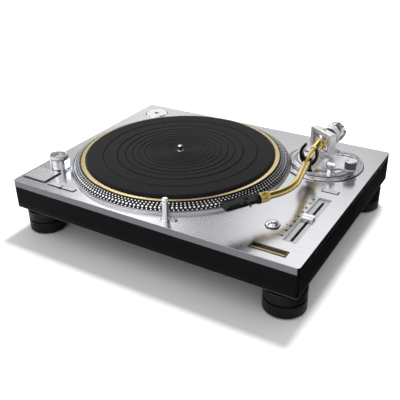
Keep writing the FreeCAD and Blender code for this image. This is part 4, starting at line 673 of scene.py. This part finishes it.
# along the knob: the place from side to side, and the size of the side view there
stations = [(-7.75, 0), (-7.75, 0.93), (-7.55, 0.98), (-7.2, 1), (7.2, 1), (7.55, 0.98), (7.75, 0.93),
            (7.75, 0)]
knob = np.array([np.column_stack([np.full(len(side_view), x), middle + (side_view - middle) * size])
                 for x, size in stations])
new_piece("knob_cap", [knob + (*BED, 0)], [satin_aluminium], "pitch_knob", ["pitch_knob"])
stem = slab(3.2, 8.0, 0.6, -9.1, -2.4, 0.3, BED)
new_piece("knob_stem", [stem], [black_nylon_and_shade], "pitch_knob")
line = slab(13.5, 0.8, 0.3, 2.4, 2.92, 0.1, (BED[0], BED[1] + 0.8))
new_piece("knob_line", [line], [satin_black], "pitch_knob")

# %% [markdown]
# A small socket in the deck takes a spare headshell. Until it is needed, a domed plug closes it: a
# turned cap of chromed brass whose rim laps over the socket's ring. A thin black nylon ring lies
# round it on the deck: painted shade, standing for the dark crescent under the cap's rim.

# %% Plug for the spare shell
PLUG = (159.5, -105.4)
dome = [(0, -1.0), (5.9, -1.0), (6.2, 0.9), (8.8, 1.0), (9.2, 1.5), (8.9, 2.5), (7.8, 3.7), (6.2, 4.6),
        (4.2, 5.2), (2.0, 5.45), (0, 5.5)]
new_piece("plug_dome", [turned(dome, PLUG, 64)], [chrome], "holder_plug", ["holder_plug"])
# painted shade: a black ring on the deck for the dark crescent under the cap's rim
plug_shade_profile = [(8.6, -0.05), (10.1, -0.05), (10.1, 0.1), (8.6, 0.1), (8.6, -0.05)]
new_piece("plug_shade_ring", [turned(plug_shade_profile, PLUG, 64)], [black_nylon_and_shade], "plinth")

# %% [markdown]
# A scale of dots and small numbers runs down the slider's left side. They are printed on the real
# deck, in ink a few hundredths of a millimetre thick. Here each is a solid of black ink about a
# tenth of a millimetre thick, so that it casts no visible edge and still reads from close by.

# %% Printed scale
ink = grained("black silk-screen ink", "#0b0b0d", "#131316", (0.5, 0.65), 0.6, 0.003, 0.2)
# each mark: its place along the slider, and its number
marks = {-19.3: "16", -31.7: "12", -44.9: "8", -57.3: "4", -70.5: "0", -83.9: "4", -95.5: "8",
         -108.5: "12", -121.7: "16"}
dots = [turned([(0, -0.05), (1.8, -0.05), (1.8, 0.08), (0, 0.08)], (180.0, y), 12) for y in marks]
new_piece("scale_dots", dots, [ink], "plinth")

# %% Printed numbers
LETTER, HALF_THICK = 0.0042, 0.00006
work = bmesh.new()
for y, word in marks.items():
    curve = bpy.data.curves.new("number", "FONT")
    curve.body, curve.size = word, LETTER
    curve.align_x, curve.align_y = "CENTER", "CENTER"
    curve.extrude, curve.resolution_u = HALF_THICK, 2
    text = bpy.data.objects.new("number", curve)
    scene.collection.objects.link(text)
    bpy.context.view_layer.update()
    letters = bpy.data.meshes.new_from_object(text.evaluated_get(bpy.context.evaluated_depsgraph_get()))
    letters.transform(Matrix.Translation(over_deck((175.0, y, 0))))
    work.from_mesh(letters)
    bpy.data.meshes.remove(letters)
    bpy.data.objects.remove(text)
bmesh.ops.remove_doubles(work, verts=work.verts, dist=1e-6)
mesh = bpy.data.meshes.new("scale_numbers")
work.to_mesh(mesh)
work.free()
mesh.materials.clear()
mesh.materials.append(ink)
numbers = bpy.data.objects.new("scale_numbers", mesh)
scene.collection.objects.link(numbers)
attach(numbers, "plinth")
print("numbers:", " ".join(marks.values()))

# %% [markdown]
# The plate at the front right is black with a gold border and a gold stripe along its foot. Such
# a plate is etched brass filled with black lacquer, so its gold parts stand level with each
# other and a hair above the black.

# %% Plate border
LABEL = (179.0, -157.2)
etched_brass = stroked("etched brass, lacquered", "#dcc179", "#bd9f5a", (0.22, 0.34), (8, 0.5), 0.006)
# each bar: its middle from the plate's middle, its width and its depth
strips = [(0, 5.3, 45.6, 0.25), (0, -5.3, 45.6, 0.25), (-22.6, 0, 0.25, 10.2), (22.6, 0, 0.25, 10.2),
          (0, -3.4, 43.4, 1.7)]
gold_bars = bars([(LABEL[0] + x, LABEL[1] + y, 0.2) for x, y, _, _ in strips],
                 [(wide, deep, 0.14) for _, _, wide, deep in strips], [0] * len(strips))
new_piece("plate_border", gold_bars, [etched_brass], "plinth")

# %% [markdown]
# ## Arm base
#
# The arm stands on a polished disc. Round the raised platform lies the height ring, about a
# centimetre wide and ribbed outside, that screws the whole arm up and down. Its ribs are a cosine
# wave, a hundred and fifty round. Fine lines on its top are its scale. Three thin beads run round the
# disc itself, and a thin black ring round its edge is painted shade, standing for the shadow and dark
# reflection at the disc's edge. Beads and ring stop where the disc is cut away beside the platter.

# %% Height ring
ring = [(39.0, 2.2), (47.8, 2.2), (48.5, 2.9), (48.5, 7.1), (47.6, 7.9), (46.4, 8.2), (40.2, 8.2),
        (39.5, 7.7), (39.0, 7.6), (39.0, 2.2)]
new_piece("ribbed_ring", [turned(ring, ARM_BASE, 900, ribs=150, depth=0.55, rows=(2, 3))], [base_metal],
          "height_ring", ["height_ring"])
angles = np.radians(np.arange(-60, 61, 6.0) - 60)
middles = at_height(ARM_BASE + 44.4 * unit(angles), 8.2)
new_piece("ring_scale", bars(middles, [(2.6, 0.35, 0.1)] * len(angles), angles), [ink], "height_ring")

# %% Beads of the disc, and a ring of painted shade round it


def part_ring(radius, half, height, section):
    """A section carried round the arm's base, by half of that many degrees to both sides of the
    direction that leads straight away from the platter."""
    away = math.atan2(ARM_BASE[1] - PLATTER[1], ARM_BASE[0] - PLATTER[0])
    angles = away + np.radians(np.linspace(-half, half, 240))
    return carried(at_height(ARM_BASE + radius * unit(angles), height), section)


new_piece("flange_beads", [part_ring(radius, 152, 1.75, circle(wide, 10)) for radius, wide in
                           ((56.6, 0.5), (53.2, 0.35), (50.6, 0.3))], [chrome], "plinth")
# painted shade: a thin black ring round the disc's edge, for its shadow and dark reflection
new_piece("flange_shade_ring", [part_ring(58.8, 148, 0, circle(1.0, 10) * (0.9, 0.3))], [black_nylon_and_shade],
          "plinth")

# %% [markdown]
# The yoke is a cast and plated frame, and its edges are rounded by the plating as well as by the
# mould. It is one outline, a rectangle with round corners, drawn once for each point of the bar's
# own section: further in, further out, forwards and back. The gimbal inside is made the same way.

# %% Yoke and gimbal


def framed(width, height, corner, bar, depth, soft, origin, heading):
    """A rectangular frame: its outline is repeated at each point of the bar's rounded section, and
    drawn in by that point's first number and shifted along the frame's depth by its second."""
    section = outline(bar, depth, soft, 3) + (bar / 2, 0)
    loops = [at_height(outline(width - 2 * inset, height - 2 * inset, max(corner - inset, 0.3)), shift)
             for inset, shift in section]
    return aimed(np.array(loops), origin, heading)


YOKE_TURN = 148.7
top_cap = [(0, 48.7), (3.4, 48.7), (3.4, 49.7), (2.9, 50.2), (1.2, 50.2), (0.9, 49.8), (0, 49.8)]
pillar = [(0, 10.2), (13.0, 10.2), (13.0, 14.6), (12.3, 16.0), (9.0, 17.6), (0, 17.8)]
new_piece("yoke_frame", [framed(47, 33.6, 2.5, 5, 12, 1.2, PIVOT, YOKE_TURN)], [chrome_satin],
          "arm_platform", ["arm_yoke"])
new_piece("yoke_pillar", [turned(pillar, PIVOT[:2], 96)], [chrome_satin], "arm_platform")
new_piece("yoke_cap", [turned(top_cap, PIVOT[:2], 48)], [chrome], "arm_platform")
new_piece("yoke_liner", [framed(37.6, 24.2, 0.8, 0.8, 3.0, 0.3, PIVOT, YOKE_TURN)], [satin_black],
          "arm_platform")
gimbal = [framed(31, 22, 2.0, 3, 8, 0.9, PIVOT, YOKE_TURN)]
for height in (13.3, -13.3):
    pin = [(0, height - 2.6), (2.0, height - 2.6), (2.0, height + 2.4), (0, height + 2.4)]
    gimbal.append(turned(pin, PIVOT[:2], 32) + (0, 0, PIVOT[2]))
new_piece("gimbal_frame", gimbal, [chrome], "gimbal", ["gimbal_ring"])

# %% [markdown]
# ## Arm
#
# The counterweight is turned from brass and chromed: a groove, polished lands, and black anodised
# grips let into the rear land for the fingers. The grips are one ring with twelve waves on its
# radius, so that it stands out of the chrome twelve times. The ring in front of it carries the force
# scale. All are turned shapes laid along the rear shaft, seven degrees away from straight back.

# %% Counterweight and force scale
REAR = 173.0
weight = [(3.6, 27.3), (12.6, 27.3), (14.6, 28.2), (15.3, 29.4), (15.3, 35.6), (14.3, 35.9),
          (14.3, 37.3), (15.3, 37.6), (15.3, 44.6), (14.8, 46.2), (13.6, 47.0), (10.4, 47.0),
          (9.2, 46.2), (9.0, 36.2), (3.6, 36.0), (3.6, 27.3)]
new_piece("weight_body", [lathed(weight, 160, PIVOT, REAR)], [chrome], "counterweight",
          ["counterweight"])
grip = [(14.8, 37.9), (15.38, 38.1), (15.38, 43.9), (14.8, 44.1), (14.8, 37.9)]
new_piece("weight_grip", [lathed(grip, 240, PIVOT, REAR, ribs=12, depth=0.5, rows=(1, 2))],
          [satin_black], "counterweight")
face = [(3.6, 19.0), (12.2, 19.0), (12.8, 19.6)]
drum = [(12.8, 19.6), (14.6, 21.8), (15.0, 22.3), (15.0, 26.4), (14.6, 27.0), (3.6, 27.0), (3.6, 19.0)]
new_piece("scale_ring", [lathed(face, 240, PIVOT, REAR),
                         lathed(drum, 240, PIVOT, REAR, ribs=40, depth=0.35, rows=(2, 3))],
          [grey_plastic_and_bead_highlight, chrome_satin], "force_scale", ["force_scale"])

# %% Scale lines of the force scale
c, s = math.cos(math.radians(45)), math.sin(math.radians(45))
lean = np.array([(1, 0, 0), (0, c, s), (0, -s, c)])
ticks = []
for number in range(24):
    reach, long = (13.3, 1.6) if number % 4 else (13.0, 2.4)
    tick = bars([(0, 0, 0)], [(0.3, long, 0.1)], [0])[0] @ lean + (0, reach, 20.6)
    ticks.append(aimed(spun(tick, 2 * np.pi * number / 24), PIVOT, REAR))
new_piece("scale_ticks", ticks, [satin_black], "force_scale")

# %% [markdown]
# The tube is one aluminium pipe bent into a slender S: a slight bend outwards just before the rest,
# and a longer one inwards behind the cartridge, so that the needle meets the groove squarely. Its
# path is worked out from its heading: the heading changes evenly between two lengths, and each
# point is the sum of the steps before it. A circle is carried along that path.

# %% Tube, sleeve and locking nut
TUBE_TURN, HEAD_TURN = 3.5, -32.0
HEAD, TUBE_START, TUBE_END = (166.68, -59.32, 32.0), 12.0, 205.8
# each bend: where it starts along the tube, how long it is, and by how many degrees it turns
BENDS = ((57.66, 8.06, 7.7), (135.58, 53.16, -43.2))
length = np.linspace(TUBE_START, TUBE_END, 300)
heading = TUBE_TURN + sum(turn * np.clip((length - start) / run, 0, 1) for start, run, turn in BENDS)
ahead = unit(np.radians(heading - 90))
step = ahead * (length[1] - length[0])
flat = np.concatenate([[(0, 0)], np.cumsum((step[1:] + step[:-1]) / 2, axis=0)])
path = at_height(PIVOT[:2] + length[0] * ahead[0] + flat, PIVOT[2])
# one more point a hair before each end, where the tube closes
path = np.concatenate([path[:1] - (path[1] - path[0]) * 1e-3, path,
                       path[-1:] + (path[-1] - path[-2]) * 1e-3])
new_piece("bent_tube", [carried(path, circle(4.9, 40))], [gold_tube], "tonearm", ["arm_tube"])
sleeve = [(4.95, 13.5), (8.0, 13.5), (8.6, 14.1), (8.6, 15.9), (8.2, 16.5), (6.9, 16.7), (6.6, 17.2),
          (6.6, 38.6), (6.2, 39.5), (5.6, 40.0), (4.95, 40.0), (4.95, 13.5)]
new_piece("gold_sleeve", [lathed(sleeve, 96, PIVOT, TUBE_TURN)], [gold_tube], "tonearm",
          ["tube_sleeve"])
nut = [(4.98, 38.5), (5.6, 38.5), (6.7, 40.3), (6.7, 41.5), (6.3, 41.8), (6.3, 42.3), (6.7, 42.6),
       (6.7, 51.3), (6.3, 52.1), (5.8, 52.5), (4.98, 52.5), (4.98, 38.5)]
new_piece("gold_nut", [lathed(nut, 240, HEAD, HEAD_TURN, ribs=40, depth=0.3, rows=(6, 7))], [gold_tube],
          "locking_nut", ["locking_nut"])
print("tube ends at", path[-1].round(2))

# %% [markdown]
# The headshell's flat deck stays as drawn. Behind it a cone flares out to the locking collar: its
# section changes from a circle to a low box, point for point, so it is a blend of two outlines. The
# finger hook is a round wire that leaves the side, bends outwards and ends in a small ball.

# %% Shell flare
spread = circle(1, 40)
round_end = spread * 6.9
box_end = np.sign(spread) * np.abs(spread) ** 0.35 * (8.7, 2.1) + (0, 2.1)
# along the flare: the length from the head's joint, the blend of the two ends, and the size
stations = np.array([(53.0, 0, 0), (53.0, 0, 0.92), (53.4, 0, 1), (54.6, 0.02, 1), (56.4, 0.28, 0.96),
                     (58.8, 0.62, 0.95), (61.6, 0.9, 0.97), (64.4, 1, 0.98), (64.4, 1, 0)])
blend = stations[:, 1, None, None]
ring = round_end[None] * (1 - blend) + box_end[None] * blend
middle = ring[:, :-1].mean(1, keepdims=True)
ring = middle + (ring - middle) * stations[:, 2, None, None]
along = np.broadcast_to(stations[:, 0, None, None], (*ring.shape[:2], 1))
new_piece("shell_flare", [aimed(np.concatenate([ring, along], -1), HEAD, HEAD_TURN)], [satin_black],
          "headshell")

# %% Finger hook
run, power = np.linspace(0, 1, 40)[:, None], np.arange(4)
knots = np.array([(4.2, -77.7, 5.3), (10.5, -74.2, 5.5), (14.0, -75.4, 5.0), (19.8, -76.0, 4.2)])
curve = ((1, 3, 3, 1) * run ** power * (1 - run) ** (3 - power)) @ knots
wire = spun(curve, math.radians(HEAD_TURN)) + HEAD
ends = np.r_[0, np.full(32, 0.8), 0.85, 1.0, 1.15, 1.2, 1.1, 0.75, 0]
new_piece("finger_hook", [carried(wire, circle(1.0, 16), ends)], [satin_black], "headshell",
          ["finger_lift"])

# %% [markdown]
# The rest clip is moulded in springy ABS: a ring between two ellipses, open at the top, that grips
# the tube when the arm is parked. A rounded section is swept from one horn to the other, its
# inner edge on the smaller ellipse and its outer edge on the larger, and it ends in a rounded tip at
# each horn. A thin metal pad lines the left horn.

# %% Arm rest


def horned(outer, inner, start, sweep, length, steps=80):
    """Between two ellipses, each a (middle, half width, half height) row: at every angle the section's
    first number runs from the inner to the outer ellipse, and its second along the tube. Near both
    ends it shrinks as a quarter circle does."""
    spread = unit(np.radians(start + np.linspace(0, sweep, steps)))
    out, inn = (spread * half + middle for middle, half in (outer, inner))
    section = outline(2.0, length, 0.95, 4) / (2.0, 1.0) + (0.5, 0)
    count = np.arange(steps)
    fade = np.clip(np.minimum(count, count[::-1]) / 2.5, 0, 1)
    fade = np.sqrt(1 - (1 - fade) ** 2)[:, None, None]
    mid = ((out + inn) / 2)[:, None]
    across = mid + (inn[:, None] + (out - inn)[:, None] * section[None, :, :1] - mid) * fade
    along = section[None, :, 1:] * (0.55 + 0.45 * fade) * (fade > 0)
    return np.concatenate([across * (-1, 1), along], -1)


REST_TURN = 5.0
REST = (148.54, 40.37, 32.0)
outer, inner = np.array([(-2.2, 4.0), (13.3, 18.0)]), np.array([(-1.7, 5.5), (9.3, 12.5)])
new_piece("rest_clip", [aimed(horned(outer, inner, 117, 283, 9), REST, REST_TURN)], [gloss_black],
          "arm_platform", ["arm_clip"])
lining = np.array([inner[0], inner[1] - 0.8])
new_piece("rest_pad", [aimed(horned(inner, lining, 121, 62, 8.4, 24), REST, REST_TURN)],
          [satin_aluminium], "arm_platform")
foot = [(0, 10.2), (4.2, 10.2), (4.2, 10.9), (3.0, 11.4), (2.2, 12.4), (2.2, 19.0), (0, 19.0)]
new_piece("rest_stem", [turned(foot, REST[:2], 48)], [gloss_black], "arm_platform", ["rest_post"])

# %% [markdown]
# ## Controls round the arm
#
# The anti-skate knob has a grey ribbed grip and a plated top, dished like a volume knob's, with a
# line to read it by. Grip and top are two profiles that meet in one ring, so each has its finish.

# %% Anti-skate knob
SKATE = (196.5, 77.0)
side = [(0, 8.6), (2.0, 8.6), (2.0, 10.6), (8.0, 10.6), (8.5, 11.1), (8.5, 20.6)]
crown = [(8.5, 20.6), (7.9, 21.6), (7.2, 22.0), (6.4, 21.7), (0, 21.5)]
new_piece("skate_knob", [turned(side, SKATE, 240, ribs=40, depth=0.35, rows=(4,)),
                         turned(crown, SKATE, 240)], [grey_plastic_and_bead_highlight, chrome_satin],
          "anti_skate_dial", ["anti_skate_dial"])
mark = bars([(SKATE[0] - 4.4, SKATE[1] - 3.0, 21.75)], [(4.0, 0.6, 0.25)], [math.radians(34)])
new_piece("skate_mark", mark, [satin_black], "anti_skate_dial")

# %% [markdown]
# ## Floor and light
#
# The deck stands on a seamless white table. Light comes as in a product studio: one soft box high
# behind the deck, which lays the shadow towards the viewer, and an even surround. A mirror doesn't
# see that soft box. It sees a painted surround instead: white near the table, grey above, and a few
# panels that draw the long sheen on the deck and the bright dots on the platter's rim. A black
# velvet card at the right, seen only in reflections, keeps the deck's right side dark: product
# photographers call it a flag. The surround throws less light than the eye sees of it, and that is
# what Light Path separates. The paper is a little brighter to the eye than to the things on it.

# %% Paper for the floor
paper, tree, shader = new_finish("white paper sweep", "#f4f4f4", 0.6, shine=0.1)
place = add_node(tree, "TexCoord")["Object"]
fibre = add_node(tree, "TexNoise", {"Vector": place, "Scale": 400.0})[0]
tooth = add_node(tree, "Bump", {"Distance": 0.00005, "Height": fibre})
tree.links.new(tooth[0], shader.inputs["Normal"])
ray = add_node(tree, "LightPath")
seen = add_node(tree, "Math", {0: ray["Is Glossy Ray"], 1: 0.15}, operation="MULTIPLY")[0]
for kind in ("Is Camera Ray", "Is Transmission Ray"):
    seen = add_node(tree, "Math", {0: seen, 1: ray[kind]}, operation="MAXIMUM")[0]
bare = add_node(tree, "BsdfTransparent", {"Color": (0, 0, 0, 1)})
more = add_node(tree, "BsdfDiffuse", {"Color": linear("#f4f4f4")})
share = add_node(tree, "MixShader", {0: seen, 1: bare[0], 2: more[0]})
whole = add_node(tree, "AddShader", {0: shader.outputs[0], 1: share[0]})
tree.links.new(whole[0], tree.nodes["Material Output"].inputs["Surface"])
print("paper:", paper.name)

# %% Floor and flag


def card(name, corners, finish):
    """A flat card of the stage: four corners in mm over the deck, and one finish."""
    mesh = bpy.data.meshes.new(name)
    mesh.from_pydata(over_deck(corners).tolist(), [], [(0, 1, 2, 3)])
    mesh.materials.append(finish)
    made = bpy.data.objects.new(name, mesh)
    scene.collection.objects.link(made)
    return made


REACH = 4000
corners = [(REACH * x, REACH * y, -DECK_HEIGHT) for x, y in ((-1, -1), (1, -1), (1, 1), (-1, 1))]
card("floor", corners, paper)
velvet = grained("black velvet flag", "#3c3c3e", "#444446", (0.9, 1.0), 2.0, 0.0, 0.0)
corners = [(240, y, z) for y, z in ((-230, -DECK_HEIGHT), (400, -DECK_HEIGHT), (400, -2), (-230, -2))]
flag = card("black_flag", corners, velvet)
for kind in ("camera", "diffuse", "transmission", "shadow"):
    setattr(flag, "visible_" + kind, False)
print("floor and a flag that only mirrors see")

# %% Surround
# the share of the surround's white that falls on things as light
THROWN = 0.38
surround = bpy.data.worlds.new("white surround")
scene.world = surround
surround.use_nodes = True
tree = surround.node_tree
background = tree.nodes["Background"]
way = add_node(tree, "SeparateXYZ", {0: add_node(tree, "TexCoord")["Generated"]})
angle = add_node(tree, "Math", {0: way[0], 1: way[1]}, operation="ARCTAN2")[0]


def product_of_steps(rows):
    """Multiply smooth steps, one for each row of value, low, high, start and end: start where the
    value is low, end where it is high."""
    shape = 1.0
    for value, low, high, start, end in rows:
        step = add_node(tree, "MapRange", {0: value, 1: low, 2: high, 3: start, 4: end},
                        interpolation_type="SMOOTHSTEP")
        shape = add_node(tree, "Math", {0: shape, 1: step[0]}, operation="MULTIPLY")[0]
    return shape


# the studio's far side: white near the table, grey above, and darker towards the right
mirrored = product_of_steps([(way[2], 0.24, 0.43, 1.0, 0.34), (way[2], 0.5, 0.66, 1.0, 0.35),
                             (angle, math.radians(15), math.radians(70), 1.0, 0.45)])
# the panels: bearings left and right in degrees from straight back towards the right, then foot and
# head as the sine of the elevation, how soft their borders are, and how bright they are
panels = [(-47, -37, 0.5, 0.75, 0.03, 3.6), (-28, -12, 0.46, 0.75, 0.05, 1.4),
          (-40, -26, 0.28, 0.42, 0.05, 0.6), (112, 190, 0.28, 0.8, 0.06, 0.9),
          (-190, -128, 0.28, 0.97, 0.06, 1.6), (-104, -60, 0.28, 0.97, 0.06, 1.6),
          (-130, -102, 0.6, 0.97, 0.06, 1.6), (-190, 190, 0.9, 2.0, 0.06, 0.8)]
for *bearings, foot, head, soft, glow in panels:
    left, right = np.radians(bearings)
    panel = product_of_steps([(angle, left - soft, left + soft, 0, 1),
                              (angle, right - soft, right + soft, 1, 0),
                              (way[2], foot - soft * 0.6, foot + soft * 0.6, 0, 1),
                              (way[2], head - soft * 0.6, head + soft * 0.6, glow, 0)])
    mirrored = add_node(tree, "Math", {0: mirrored, 1: panel}, operation="ADD")[0]
ray = add_node(tree, "LightPath")
level = add_node(tree, "Mix", {0: ray["Is Glossy Ray"], 2: THROWN, 3: mirrored})[0]
seen = add_node(tree, "Math", {0: ray["Is Camera Ray"], 1: ray["Is Transmission Ray"]},
                operation="MAXIMUM")[0]
level = add_node(tree, "Mix", {0: seen, 2: level, 3: 1.0})
tree.links.new(level[0], background.inputs["Strength"])
background.inputs["Color"].default_value = linear("#ffffff")
print("surround throws", THROWN)

# %% [markdown]
# The soft box is a square area light that faces the middle of the deck. Its power in watts is its
# radiance times its area times pi. Mirrors see the painted surround instead of it.

# %% Soft box
SIDE, RADIANCE = 0.6, 48.0
place, target = Vector((-0.1, 1.2, 2.75)), Vector((0, 0, 0.08))
light = bpy.data.lights.new("main soft box", "AREA")
light.shape = "RECTANGLE"
light.size = light.size_y = SIDE
light.energy = RADIANCE * SIDE * SIDE * math.pi
lamp = bpy.data.objects.new("main soft box", light)
facing = (target - place).to_track_quat("-Z", "Y").to_matrix().to_4x4()
lamp.matrix_world = Matrix.Translation(place) @ facing
lamp.visible_glossy = False
scene.collection.objects.link(lamp)
scene.view_settings.view_transform = "Standard"
